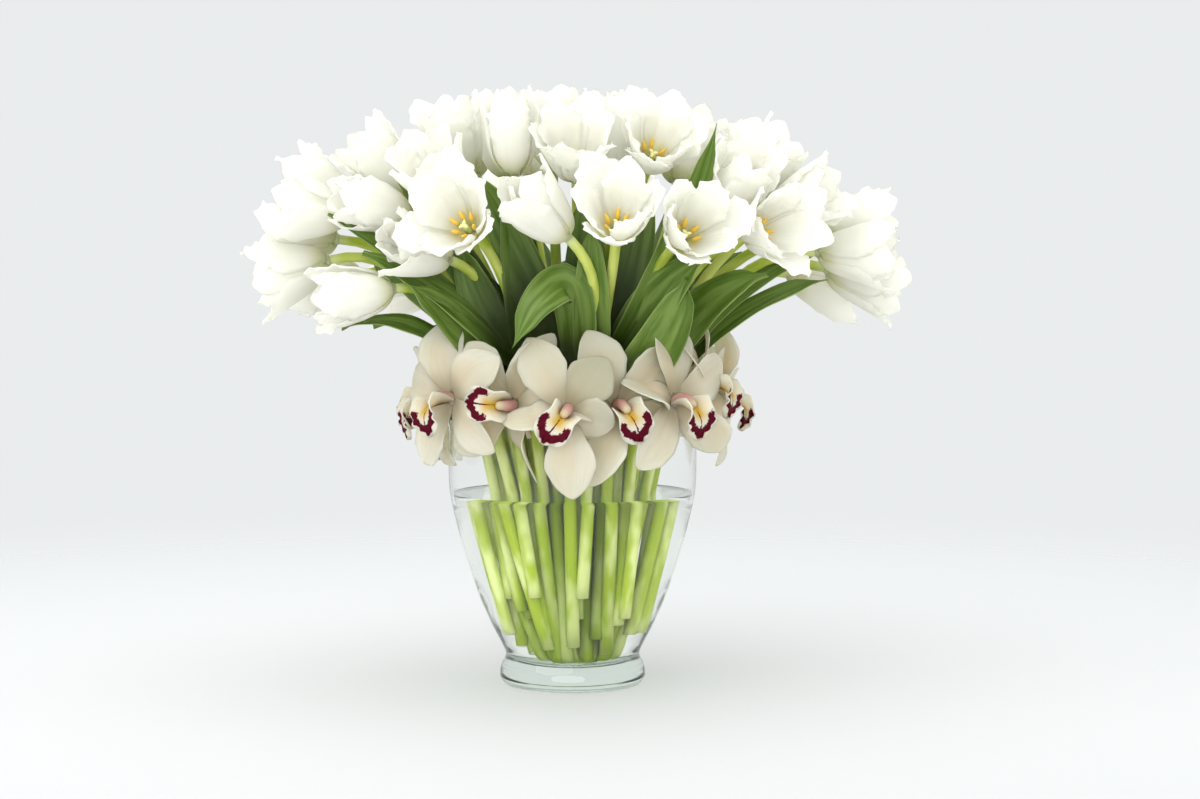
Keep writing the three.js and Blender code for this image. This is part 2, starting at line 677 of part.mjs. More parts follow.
// Where a stem is at a height just above the rim plane
function spotOnStem({ top, rise }, height) {
  return top.clone().addScaledVector(rise, (height - top.z) / rise.z);
}

// The stem that passes nearest to a point, and the place on it: its leaf grows there
function seatOn(stems, point) {
  const seats = stems.map((stem) => ({ stem, spot: spotOnStem(stem, point.z) }));
  return seats.reduce((best, seat) =>
    (seat.spot.distanceTo(point) < best.spot.distanceTo(point) ? seat : best));
}

function leafList(stems) {
  const backLeaves = BACK_FANS.flatMap(({ angles, reach, height, lift, half }) =>
    angles.map((angle, k) => {
      const out = direction(angle, 90);
      const turned = direction(angle + 22 * (scatter(k + reach) - 0.5), 90);
      return {
        base: out.clone().multiplyScalar(50).setZ(202).toArray(),
        tip: turned.multiplyScalar(reach).setZ(height + 24 * (scatter(k + height) - 0.5)).toArray(),
        lift,
        half,
        face: [out.x, out.y, 0.5],
      };
    }));
  const bearers = new Set();
  const plain = [...LEAVES, ...backLeaves].map((leaf, k) => {
    const { stem, spot } = seatOn(stems, vector(leaf.base));
    bearers.add(stem);
    return growLeaf(leaf, spot, k);
  });
  const path = FOLDED_LEAF.path.map(vector);
  path[0] = seatOn(stems, path[0]).spot;
  const folded = {
    curve: new THREE.CatmullRomCurve3(path),
    half: FOLDED_LEAF.half,
    face: vector(FOLDED_LEAF.face).normalize(),
    rows: FOLDED_ROWS,
    phase: 1,
  };
  // Some of the other stems bear a plain leaf that follows them up
  const own = stems.filter((stem, k) => !bearers.has(stem) && k % 7 === 0).map((stem, k) => {
    const out = direction(stem.bloom.compass + 40 * (scatter(k + 700) - 0.5), 90);
    const bend = stemCurve(stem).getPoint(0.62 + 0.2 * scatter(k + 720));
    return growLeaf({
      tip: bend.addScaledVector(out, 10).toArray(), lift: 6, half: 14, face: [out.x, out.y, 0.3],
    }, spotOnStem(stem, OWN_LEAF_BASE), k + 50);
  });
  return [...plain, folded, ...own];
}

// A leaf on a smooth curve from its seat on the stem to its tip
function growLeaf({ tip, lift, half, face }, start, seed) {
  const end = vector(tip);
  const chord = end.clone().sub(start);
  const bow = across(chord.clone().normalize(), UP);
  const knot = (part, raise) => start.clone().addScaledVector(chord, part)
    .addScaledVector(bow, raise);
  return {
    curve: new THREE.CubicBezierCurve3(start, knot(0.3, lift), knot(0.7, 1.3 * lift), end),
    half,
    face: vector(face).normalize(),
    rows: LEAF_ROWS,
    phase: 6.28 * scatter(seed + 30),
  };
}

function leafSolid(leaf) {
  return blade(
    leaf.rows.map(([s, stations]) => stations.map((t) => leafPoint(leaf, s, t))), LEAF_THICKNESS);
}

// Orchids: five tepals, a three-lobed lip and an arched column on a short hooked stalk

const TEPAL_ROWS = [[0, [0]], [0.42, [-1, 0, 1]], [0.78, [-1, 0, 1]], [1, [0]]];
const LIP_HALF = 12.5; // half-width of the lip's broad front lobe
const LIP_DROP = 17;
const LIP_ROWS = [[0, [0]], [0.42, [-1, 0, 1]], [0.8, [-1, 0, 1]], [1, [0]]];

function orchidFrame({ angle, radius, height, turn }) {
  const forward = direction(angle, 90);
  const level = UP.clone().cross(forward);
  const turned = turn * RADIANS;
  return {
    forward,
    right: level.clone().multiplyScalar(Math.cos(turned)).addScaledVector(UP, Math.sin(turned)),
    up: UP.clone().multiplyScalar(Math.cos(turned)).addScaledVector(level, -Math.sin(turned)),
    centre: direction(angle, 90).multiplyScalar(radius).setZ(height),
  };
}

function flowerPoint(frame, x, y, z) {
  return frame.centre.clone()
    .addScaledVector(frame.right, x)
    .addScaledVector(frame.up, y)
    .addScaledVector(frame.forward, z);
}

// A tepal is broad and widest at its middle, with a blunt point
function tepalHalfWidth(s) {
  const swell = s < 0.5
    ? Math.max(0.3, (s / 0.5) ** 0.6)
    : Math.max(0, 1 - ((s - 0.5) / 0.5) ** 2.2) ** 0.7;
  return TEPAL_WIDTH / 2 * swell;
}

function tepalPoint(frame, tepal, s, t, pad) {
  const { angle, length, twist, lean } = tepal;
  const half = tepalHalfWidth(s) + pad;
  const out = TEPAL_ROOT + s * (length - TEPAL_ROOT + pad);
  const [c, d] = [Math.cos(angle * RADIANS), Math.sin(angle * RADIANS)];
  const turned = twist * Math.min(1, 2 * s);
  const level = half * t * Math.cos(turned);
  const rise = half * t * Math.sin(turned);
  const forward = 5 * Math.sin(Math.PI * s) + lean * s * s + 0.14 * half * t * t + rise;
  const width = frame.right.clone().multiplyScalar(-d).addScaledVector(frame.up, c);
  return {
    point: flowerPoint(frame, c * out - d * level, d * out + c * level, forward),
    normal: frame.forward.clone().multiplyScalar(Math.cos(turned))
      .addScaledVector(width, -Math.sin(turned)),
  };
}

// The lip comes forward from the centre, cupped, and then turns down and spreads
function lipPoint(frame, s, t, pad) {
  const forward = 25 * Math.sin(2.1 * s);
  const down = 2 + 6 * s + LIP_DROP * s ** 3;
  const spread = LIP_HALF * Math.sqrt(Math.max(0, 1 - ((s - 0.62) / 0.38) ** 4));
  const half = pad + (s < 0.5 ? 4 + 15 * s : spread);
  const cup = s < 0.6 ? 10.5 * (s / 0.42) * t * t : 0.6 * t * t;
  const slope = Math.atan2(6 + 3 * LIP_DROP * s * s, 52.5 * Math.cos(2.1 * s));
  const normal = frame.up.clone().multiplyScalar(Math.cos(slope))
    .addScaledVector(frame.forward, Math.sin(slope));
  return {
    point: flowerPoint(frame, half * t, -down, forward).addScaledVector(normal, cup),
    normal,
  };
}

function orchidSolid(orchid, index, pad) {
  const frame = orchidFrame(orchid);
  const tepals = TEPAL_ANGLES.map((angle, k) => {
    const tepal = {
      angle,
      length: TEPAL_LENGTH * orchid.reach[k],
      twist: orchid.twist[k],
      lean: 9 * (scatter(index * 5 + k + 17) - 0.5) - 3,
    };
    const rows = TEPAL_ROWS.map(([s, stations]) =>
      stations.map((t) => tepalPoint(frame, tepal, s, t, pad)));
    return blade(rows, TEPAL_THICKNESS, pad);
  });
  const lip = blade(
    LIP_ROWS.map(([s, stations]) => stations.map((t) => lipPoint(frame, s, t, pad))),
    LIP_THICKNESS, pad);
  const column = rod(
    [[-2, -3], [2, 6], [1.5, 13], [-1.5, 19 + pad]].map(([y, z]) => flowerPoint(frame, 0, y, z)),
    [5, 4, 4.2, 3.2].map((radius) => radius + pad), STEM_SIDES);
  const out = direction(orchid.angle, 90);
  const hook = [
    flowerPoint(frame, 0, 0, 1),
    ...STALK_HOOK.map(([radius, above]) =>
      out.clone().multiplyScalar(radius).setZ(VASE_RIM + above)),
  ];
  const stalk = rod(hook, hook.map(() => PEDICEL_RADIUS + pad), STEM_SIDES);
  return wholeBody(joined([...tepals, lip, column, stalk]));
}

// Everything together

const parts = new THREE.Group();

function addPart(name, solid, look) {
  const mesh = solid.getMesh();
  const geometry = new THREE.BufferGeometry();
  geometry.setAttribute("position", new THREE.BufferAttribute(mesh.vertProperties, mesh.numProp));
  geometry.setIndex(new THREE.BufferAttribute(mesh.triVerts, 1));
  const part = new THREE.Mesh(geometry, new THREE.MeshStandardMaterial(look));
  part.name = name;
  parts.add(part);
}

const number = (index) => String(index + 1).padStart(2, "0");

const blooms = bloomList();
settlePetals(blooms);
const stems = stemList(blooms);
const leaves = leafList(stems);

// The flowers with their clearance, which later pieces are cut by
const padded = [];

function clearOf(solid) {
  const near = padded.filter((blocker) => solid.intersect(blocker).volume() > 0);
  return near.length ? wholeBody(solid.subtract(joined(near))) : solid;
}

blooms.forEach((bloom, index) => {
  addPart(`tulip_bloom_${number(index)}`, clearOf(bloomSolid(bloom, 0)), WHITE);
  padded.push(bloomSolid(bloom, BLOOM_CLEARANCE));
});
ORCHIDS.forEach((orchid, index) => {
  addPart(`orchid_${number(index)}`, clearOf(orchidSolid(orchid, index, 0)), ORCHID_WHITE);
  padded.push(orchidSolid(orchid, index, ORCHID_CLEARANCE));
});

const bunch = joined([...stems.map(stemSolid), ...leaves.map(leafSolid)]);
addPart("stems_and_leaves", clearOf(bunch), LEAF_GREEN);
addPart("vase", vaseSolid(), CLEAR);
addPart("water", wholeBody(waterSolid().subtract(joined(stems.map(stemHole)))), CLEAR);

export default parts;
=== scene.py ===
"""White tulips in a footed glass vase of water, with a collar of orchids round the rim.

The forms repeat the solids' numbers, in millimetres, with fine surfaces. Meshes are in metres.
"""

import math
from types import SimpleNamespace as Record

import bpy
import numpy as np
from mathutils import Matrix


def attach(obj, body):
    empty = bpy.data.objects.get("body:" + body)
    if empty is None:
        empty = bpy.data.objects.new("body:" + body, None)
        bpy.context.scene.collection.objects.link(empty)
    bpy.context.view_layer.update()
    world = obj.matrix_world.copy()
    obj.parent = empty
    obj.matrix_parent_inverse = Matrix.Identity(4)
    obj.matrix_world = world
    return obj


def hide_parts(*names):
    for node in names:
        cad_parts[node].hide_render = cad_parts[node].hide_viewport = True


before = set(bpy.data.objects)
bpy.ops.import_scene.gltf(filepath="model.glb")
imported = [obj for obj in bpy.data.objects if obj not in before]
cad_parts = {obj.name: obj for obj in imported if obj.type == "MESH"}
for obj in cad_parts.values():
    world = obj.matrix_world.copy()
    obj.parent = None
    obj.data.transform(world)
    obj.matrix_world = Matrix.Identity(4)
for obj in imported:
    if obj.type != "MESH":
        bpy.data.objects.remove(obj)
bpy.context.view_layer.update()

MM = 0.001
RADIANS = math.pi / 180
TURN = 2 * math.pi
UP = np.array([0.0, 0.0, 1.0])
ACROSS_X = np.array([1.0, 0.0, 0.0])

# Numbers of the solids

GAP = 0.3
VASE_WALL = 2
VASE_RIM = 189
VASE_OUTLINE = [
    (48, 0), (51, 5), (50.2, 13), (47, 20.5), (49.8, 28), (56.5, 41), (65, 60),
    (76, 93), (82.8, 119), (86.2, 137), (87.2, 178), (88.4, 185),
]
BOWL_FLOOR = 11
BOWL_BOTTOM = [(48.5, 33), (42.5, 20.5), (33, 13.5)]
WATER_LEVEL = 134

STEM_RADIUS = 4.5
RIM_PLANE = 165
BUNCH_AT_RIM = 61
BUNCH_AT_FOOT = 36
FOOT_PLANE = 20
BUNCH_TWIST = 16
STEM_SPACING = 13.5
SPACING_ROUNDS = 120
HIGHEST_CUT = 70
UNCUT_SHARE = 0.25
STEM_TOUCH = 1.3
STEM_KNOTS = (0.42, 0.36)

MIDLINE_STEPS = 24
PETAL_LENGTH = 62
PETAL_WIDTH = 38
PETAL_WRAP = 0.98
PETAL_THICKNESS = 1.4
INNER_PETAL_SCALE = 0.95
PISTIL_HEIGHT = 17
BLOOM_CENTRE = 26
LEAST_OPEN = -0.2
# Slopes of a petal's middle in degrees: at its root, and at its belly and tip closed and per openness
ROOT_SLOPE = 85
BELLY_SLOPE = (7, 12)
TIP_SLOPE = (-28, 58)
WIDEST_AT = 0.52
LEAST_BEND = 8
# Room that a bloom takes, closed and per openness, and how far away neighbours count
BLOOM_ROOM = (18, 16)
NEIGHBOUR_REACH = 90
# Places along outer and inner petals that stay clear of neighbours: a petal closes by steps, then shortens
CLEAR_PLACES = ([0.34, 0.74], [0.58])
MOST_TRIES = 14
CLOSING_STEP = 0.12
SHORTENING = 0.93
LAYER_STEP = 0.06
# How much more the outer petals open than the bloom at most, and how much less the inner ones
PETAL_DRIFT = 0.16
OWN_LEAF_BASE = 192
PHASE_SPAN = 6.28

TEPAL_LENGTH = 54
TEPAL_WIDTH = 33
TEPAL_ROOT = 2.5
STALK_HOOK = [(87.4, 3.9), (77.6, -2.6), (71, -12)]

# Blooms: centre x, y, z, compass angle and lean of the axis, openness
FRONT_BLOOMS = [
    (-74, -128, 321, -112, 72, 0.95), (-101, -90, 303, -140, 74, 0.5), (-20, -132, 326, -150, 50, 0.5),
    (29, -150, 324, -88, 58, 0.95), (76, -146, 315, -72, 72, 0.8), (129, -118, 316, -52, 80, 0.8),
    (107, -99, 343, -56, 52, 0.5), (-90, -85, 350, -125, 42, 0.6), (-40, -86, 376, -100, 10, 0.12),
    (2, -98, 366, -92, 48, 0.7), (29, -56, 375, -88, 8, 0.1), (55, -90, 371, -80, 64, 0.8),
    (130, -48, 357, -26, 48, 0.6), (152, -68, 334, -35, 64, 0.6), (-131, -72, 331, -160, 80, 0.4),
    (-127, -35, 360, -170, 48, 0.5), (-79, -38, 377, -140, 24, 0.4), (-174, 5, 346, 178, 62, 0.6),
    (-176, -42, 330, -172, 80, 0.6), (-190, 18, 313, 174, 86, 0.6), (-192, -20, 289, -176, 106, 0.6),
    (-143, -82, 273, -165, 98, 0.35), (196, 4, 323, 2, 80, 0.5), (192, -40, 301, -10, 92, 0.55),
    (202, 2, 284, -2, 106, 0.4), (179, 57, 282, 18, 102, 0.5), (-14, -30, 383, -100, 8, 0.6),
    (12, 18, 384, 90, 4, 0.5), (49, -16, 381, -60, 12, 0.6), (78, 26, 374, 60, 18, 0.7),
    (118, 18, 362, 15, 34, 0.5), (-51, 18, 379, 150, 14, 0.4),
]
# Blooms on the far side: radius, height, lean, openness, compass angles
BACK_RINGS = [
    (88, 376, 24, 0.5, [72, 112, 150]),
    (146, 338, 55, 0.6, [42, 74, 104, 136, 163]),
    (186, 284, 98, 0.55, [62, 96, 130, 160]),
]
# Spread of their height, lean and openness
BACK_SPREADS = (14, 16, 0.5)
# Orchids: compass angle, radius, height, turn, and the five tepals' reach and twist
FULL = (1, 1, 1, 1, 1)
SOFT = (0.3, -0.3, 0.4, 0.2, -0.4)
ORCHIDS = [
    (-167, 94, 198, 0, FULL, (0.3, 0, 0.5, 0, 0.2)), (-140, 105, 203, 10, FULL, (0.8, 0, 0.3, 0, 0.2)),
    (-114, 96, 200, -96, (0.7, 1, 1, 1, 1), (0.3, 1.1, 1.1, 0, 0)),
    (-92, 110, 197, -38, (0.8, 1, 0.6, 0.8, 1.08), (0.2, -0.2, 0.6, 1.1, 0)),
    (-72, 95, 199, 22, (1, 1, 1, 1.05, 0.9), (0, 1.1, 0.35, 1, -0.3)),
    (-50, 105, 202, 6, (1.08, 0.8, 1, 1, 1), (0, 1.1, 0.2, 0, 1)),
    (-24, 95, 213, -12, FULL, (0.3, 0.6, 0, 0, 0.4)), (11, 102, 200, 12, FULL, SOFT),
    (47, 94, 204, -18, FULL, SOFT), (84, 104, 199, 20, FULL, SOFT), (120, 95, 203, -10, FULL, SOFT),
    (157, 103, 200, 15, FULL, SOFT),
]
TEPAL_ANGLES = [90, 157, 23, 228, -48]
# Leaves: base, tip, lift of the middle, half-width, way the face looks
LEAVES = [
    ((-8, -62, 205), (-68, -98, 356), 10, 15, (-0.2, -0.9, -0.3)),
    ((-18, -58, 205), (-42, -96, 352), 6, 14, (0.1, -1, -0.1)),
    ((8, -64, 200), (12, -114, 320), -8, 12.5, (0, -1, 0.2)),
    ((24, -60, 205), (86, -124, 296), 14, 17, (0.1, -0.9, 0.4)),
    ((38, -54, 200), (74, -112, 284), -10, 17, (0.2, -1, 0.1)),
    ((48, -46, 205), (128, -96, 286), 16, 15, (0.3, -0.8, 0.5)),
    ((56, -16, 205), (178, -30, 306), 18, 9, (0.1, -0.8, 0.6)),
    ((58, -22, 195), (176, -24, 283), 17, 9, (0.2, -0.5, 0.8)),
    ((-28, -56, 205), (-162, -78, 326), 14, 9, (-0.1, -0.8, 0.6)),
    ((-36, -52, 215), (-138, -88, 300), 10, 12, (-0.1, -0.7, 0.7)),
    ((-24, -60, 210), (-76, -64, 308), -6, 14, (-0.2, -1, 0.1)),
    ((-44, -44, 200), (-108, -90, 279), 8, 13, (-0.2, -0.8, 0.5)),
    ((-54, -28, 200), (-154, -72, 250), 26, 9, (-0.1, -0.6, 0.8)),
    ((20, -50, 210), (93, -122, 383), -12, 11, (0.3, -1, 0.1)),
    ((40, -30, 210), (152, -12, 366), 10, 12, (0.3, -0.8, 0.5)),
    ((-44, -26, 210), (-157, -6, 362), 10, 12, (-0.3, -0.7, 0.6)),
    ((-30, -40, 210), (-120, -58, 352), 8, 12, (-0.4, -0.8, 0.4)),
    ((4, -56, 200), (8, -68, 346), -10, 15, (0, -1, 0)),
    ((14, -54, 200), (50, -72, 346), -4, 15, (0, -1, 0.1)),
    ((44, -40, 200), (92, -60, 345), 4, 14, (0.2, -1, 0.2)),
]
FOLDED_PATH = [(-2, -62, 205), (4, -84, 244), (-4, -104, 279), (-22, -116, 268), (-39, -112, 238)]
FOLDED_HALF = 14
FOLDED_FACE = (-0.2, -1, 0.2)
# Leaves on the far side: radius and height of a base, then angles, reach, tip height, lift, half-width
BACK_LEAF_BASE = (50, 202)
BACK_FANS = [
    ([25, 62, 98, 134, 170], 148, 300, 14, 18),
    ([44, 80, 116, 152], 104, 330, 4, 17),
    ([70, 176], 140, 262, 18, 14),
]


def scatter(index):
    wave = math.sin(index * 12.9898 + 4.1) * 43758.5453
    return wave - math.floor(wave)


def unit(v):
    return v / np.linalg.norm(v, axis=-1, keepdims=True)


def cos_sin(degrees):
    return math.cos(degrees * RADIANS), math.sin(degrees * RADIANS)


def direction(compass, lean):
    (x, y), (height, flat) = cos_sin(compass), cos_sin(lean)
    return np.array([flat * x, flat * y, height])


def across(axis, hint):
    return unit(hint - axis * np.sum(hint * axis, axis=-1, keepdims=True))


def any_side(axis):
    return across(axis, ACROSS_X if abs(axis[2]) > 0.9 else UP)


def smooth(low, high, value):
    part = np.clip((np.asarray(value, float) - low) / (high - low), 0, 1)
    return part * part * (3 - 2 * part)


def hump(value, width):
    """1 where value is 0, fading over width to both sides."""
    return np.exp(-(value / width) ** 2)


def ripple(wave, s, t, phase):
    """A ripple from its depth, waves along, share of the phase, and slant across."""
    depth, along, share, slant = wave
    return depth * np.sin(along * s + share * phase + slant * t)


def table(places, rows):
    """Values at places, from rows of place and value."""
    return np.interp(places, *zip(*rows))


# Tulip blooms

def bloom_list():
    rows = [(np.array(row[:3], float), *row[3:]) for row in FRONT_BLOOMS]
    for radius, height, lean, opened, angles in BACK_RINGS:
        for k, compass in enumerate(angles):
            higher, lower, wider = (
                spread * (scatter(k + radius + 40 * n) - 0.5) for n, spread in enumerate(BACK_SPREADS))
            centre = direction(compass, 90) * radius + UP * (height + higher)
            rows.append((centre, compass, lean + lower, opened + wider))
    blooms = []
    for index, (centre, compass, lean, opened) in enumerate(rows):
        axis = direction(compass, lean)
        side = any_side(axis)
        blooms.append(Record(
            index=index, centre=centre, compass=compass, open=opened, axis=axis, side=side,
            third=np.cross(axis, side), base=centre - axis * BLOOM_CENTRE, spin=120 * scatter(index + 7)))
    return blooms


def midline(petal):
    """Radius, height and slope at even steps along a petal's middle."""
    s = (np.arange(MIDLINE_STEPS) + 0.5) / MIDLINE_STEPS
    belly, tip = (closed + more * petal.open for closed, more in (BELLY_SLOPE, TIP_SLOPE))
    slope = RADIANS * (ROOT_SLOPE * (1 - s) ** 6 + 4 * belly * s * (1 - s) + tip * s * s)
    step = petal.length / MIDLINE_STEPS
    radius, height = (1, 3) if petal.inside else (2.8, 1.5)
    return (np.cumsum([radius, *step * np.sin(slope)]), np.cumsum([height, *step * np.cos(slope)]),
            np.array([ROOT_SLOPE * RADIANS, *slope]))


def petal_half_width(s):
    away = np.minimum(np.abs(s - WIDEST_AT) / (1 - WIDEST_AT), 1)
    body = np.where(s < WIDEST_AT, (1 - away ** 2.2) ** 0.62, (1 - away ** 2) ** 0.8)
    return PETAL_WIDTH / 2 * np.maximum(body, 0.34 * np.sqrt(np.maximum(1 - s, 0)))


def outward_from(bloom, degrees):
    c, d = cos_sin(degrees)
    return bloom.side * c + bloom.third * d


def petal_list(bloom):
    petals = []
    for k in range(6):
        inside = k > 2
        seed = bloom.index * 6 + k
        petals.append(Record(
            inside=inside, seed=seed, phase=PHASE_SPAN * scatter(seed + 300),
            compass=bloom.spin + 120 * k + (60 if inside else 0) + 12 * (scatter(seed + 500) - 0.5),
            open=bloom.open + (-PETAL_DRIFT if inside else PETAL_DRIFT) * scatter(seed + 900),
            length=PETAL_LENGTH * (INNER_PETAL_SCALE if inside else 1) * (0.95 + 0.1 * scatter(seed))))
    return petals


# Waves of a petal. All but the first shape only the fine skin: its width swells and has nicks, and fringes
# grow between two places. The rib: depth, width
PETAL_WAVE = (1.6, 9, 1, 2)
PETAL_SWELL = (0.03, 13, 5, 0)
PETAL_NICKS = [(0.06, 33, 3, 1), (0.055, 61, 7, -2)]
PETAL_FRINGES = [((1.3, 26, 5, 3), (0.25, 0.8)), ((1.0, 49, 2, -2), (0.4, 0.9))]
PETAL_RIB = (0.7, 0.16)
TIP_CURL = 2.6


def petal_points(bloom, petal, s, t, fine=False):
    """The petal's middle surface and its normal, for arrays of s along it and t across it."""
    places = np.linspace(0, 1, MIDLINE_STEPS + 1)
    radius, height, slope = (np.interp(s, places, column) for column in midline(petal))
    phase = petal.phase
    half = petal_half_width(s)
    if fine:
        nicks = sum(ripple(wave, s, t, phase) for wave in PETAL_NICKS)
        half = half * (1 + ripple(PETAL_SWELL, s, t, phase) + nicks * smooth(0.45, 0.8, s))
        half = np.maximum(half, 0.5)
    bend = np.maximum(radius, LEAST_BEND)
    angle = t * np.minimum(half, PETAL_WRAP * bend) / bend
    offset = t * t * ripple(PETAL_WAVE, s, t, phase) * s
    if fine:
        for wave, grown in PETAL_FRINGES:
            offset = offset + np.abs(t) ** 3 * ripple(wave, s, t, phase) * smooth(*grown, s)
        offset = offset + TIP_CURL * (2 * scatter(petal.seed + 70) - 0.7) * smooth(0.72, 1.1, s)
        depth, width = PETAL_RIB
        offset = offset - depth * hump(t, width) * np.sin(math.pi * np.clip(s, 0, 1))
    outward = outward_from(bloom, petal.compass)
    around = np.cross(bloom.axis, outward)
    face = outward * np.cos(slope)[..., None] - bloom.axis * np.sin(slope)[..., None]
    cos_a, sin_a = np.cos(angle)[..., None], np.sin(angle)[..., None]
    normal = face * cos_a + around * sin_a
    point = (bloom.base + outward * radius[..., None] + bloom.axis * height[..., None]
             + around * bend[..., None] * sin_a + face * bend[..., None] * (cos_a - 1)
             + normal * offset[..., None])
    return point, normal


def settle_petals(blooms):
    def room(bloom):
        return BLOOM_ROOM[0] + BLOOM_ROOM[1] * max(bloom.open, 0)

    for bloom in blooms:
        walls = []
        for other in blooms:
            to_other = other.centre - bloom.centre
            distance = np.linalg.norm(to_other)
            if other is bloom or distance >= NEIGHBOUR_REACH:
                continue
            away = to_other / distance
            share = room(bloom) / (room(bloom) + room(other))
            walls.append((away, away @ bloom.centre + share * distance - 2 * GAP))
        bloom.petals = petal_list(bloom)

        def clear(petal):
            s, t = np.meshgrid(CLEAR_PLACES[petal.inside], [-1.0, 0.0, 1.0], indexing="ij")
            points, normals = petal_points(bloom, petal, s, t)
            middle, face = points[:, 1], normals[:, 1] * PETAL_THICKNESS / 2
            tip, _ = petal_points(bloom, petal, np.array([1.0]), np.array([0.0]))
            every = np.concatenate([points[:, 0], points[:, 2], middle + face, middle - face, tip])
            return all(np.all(every @ away <= reach) for away, reach in walls)

        for petal in bloom.petals:
            for _ in range(MOST_TRIES):
                if clear(petal):
                    break
                if petal.open > LEAST_OPEN:
                    petal.open -= CLOSING_STEP
                else:
                    petal.length *= SHORTENING
        for k, petal in enumerate(bloom.petals[3:]):
            beside = [bloom.petals[n].open - LAYER_STEP for n in (k, (k + 1) % 3)]
            petal.open = max(LEAST_OPEN, min(petal.open, *beside))


# Stems

def bowl_floor(radius):
    return table(radius, [(0, BOWL_FLOOR), *reversed(BOWL_BOTTOM)])


def stem_list(blooms):
    spots = []
    for bloom in blooms:
        x, y, z = bloom.base
        away = math.hypot(x, y)
        lean = math.atan2(away, z - RIM_PLANE)
        spots.append(complex(x, y) / away * math.sqrt(1 - math.cos(lean)))
    widest = max(map(abs, spots))
    spots = [spot * BUNCH_AT_RIM / widest for spot in spots]
    for _ in range(SPACING_ROUNDS):
        for k in range(len(spots)):
            for n in range(len(spots)):
                apart = abs(spots[k] - spots[n])
                if k != n and apart < STEM_SPACING:
                    push = (spots[n] - spots[k]) * (STEM_SPACING - apart) / (2 * apart)
                    spots[k] -= push
                    spots[n] += push
            spots[k] *= min(1, BUNCH_AT_RIM / abs(spots[k]))
    stems = []
    for k, (bloom, spot) in enumerate(zip(blooms, spots)):
        low = spot * BUNCH_AT_FOOT / BUNCH_AT_RIM * complex(*cos_sin(BUNCH_TWIST))
        floor = bowl_floor(abs(low) + STEM_RADIUS) + 2 * GAP
        cut = (scatter(k + 60) - UNCUT_SHARE) / (1 - UNCUT_SHARE)
        height = floor + max(0, (HIGHEST_CUT - floor) * cut)
        foot = low + (spot - low) * (height - FOOT_PLANE) / (RIM_PLANE - FOOT_PLANE)
        stems.append(Record(bloom=bloom, index=k, foot=np.array([foot.real, foot.imag, height]),
                            top=np.array([spot.real, spot.imag, RIM_PLANE])))
    lean_together(stems)
    for stem in stems:
        stem.rise = unit(stem.top - stem.foot)
    return stems


def lean_together(stems):
    order = sorted(stems, key=lambda stem: stem.foot[2])
    for k, stem in enumerate(order[1:]):
        foot = stem.foot
        spots = []
        for other in order[:k + 1]:
            part = (foot[2] - other.foot[2]) / (other.top[2] - other.foot[2])
            spots.append(other.foot + (other.top - other.foot) * part)
        spot = min(spots, key=lambda point: np.linalg.norm(point - foot))
        stem.foot = spot + unit(foot - spot) * STEM_TOUCH * STEM_RADIUS


def bezier(points, s):
    p0, p1, p2, p3 = points
    s = np.asarray(s, float)[..., None]
    return p0 * (1 - s) ** 3 + p1 * 3 * s * (1 - s) ** 2 + p2 * 3 * s * s * (1 - s) + p3 * s ** 3


def stem_knots(stem):
    bloom = stem.bloom
    end = bloom.base - bloom.axis * GAP
    span = np.linalg.norm(stem.top - end)
    rise, bow = (share * span for share in STEM_KNOTS)
    return [stem.top, stem.top + stem.rise * rise, end - bloom.axis * bow, end]


# Leaves

def spot_on_stem(stem, height):
    return stem.top + stem.rise * (height - stem.top[2]) / stem.rise[2]


def seat_on(stems, point):
    return min(((stem, spot_on_stem(stem, point[2])) for stem in stems),
               key=lambda seat: np.linalg.norm(seat[1] - point))


def grow_leaf(tip, lift, half, face, start, seed):
    chord = tip - start
    bow = across(unit(chord), UP)
    knots = [start, start + chord * 0.3 + bow * lift, start + chord * 0.7 + bow * 1.3 * lift, tip]
    phase = PHASE_SPAN * scatter(seed + 30)
    return Record(curve=lambda s: bezier(knots, s), half=half, face=unit(face), phase=phase, seed=seed)


def catmull_rom(points, s):
    """A centripetal Catmull-Rom curve through points, at each place of an array from 0 to 1."""
    points = [np.array(p, float) for p in points]
    points = [2 * points[0] - points[1], *points, 2 * points[-1] - points[-2]]
    result = []
    for at in np.atleast_1d(s) * (len(points) - 3):
        k = min(int(at), len(points) - 4)
        weight = at - k
        p0, p1, p2, p3 = points[k:k + 4]
        d0, d1, d2 = (np.linalg.norm(b - a) ** 0.5 for a, b in ((p0, p1), (p1, p2), (p2, p3)))
        t1 = d1 * ((p1 - p0) / d0 - (p2 - p0) / (d0 + d1) + (p2 - p1) / d1)
        t2 = d1 * ((p2 - p1) / d1 - (p3 - p1) / (d1 + d2) + (p3 - p2) / d2)
        result.append(p1 + t1 * weight + (-3 * p1 + 3 * p2 - 2 * t1 - t2) * weight ** 2
                      + (2 * p1 - 2 * p2 + t1 + t2) * weight ** 3)
    return np.array(result)


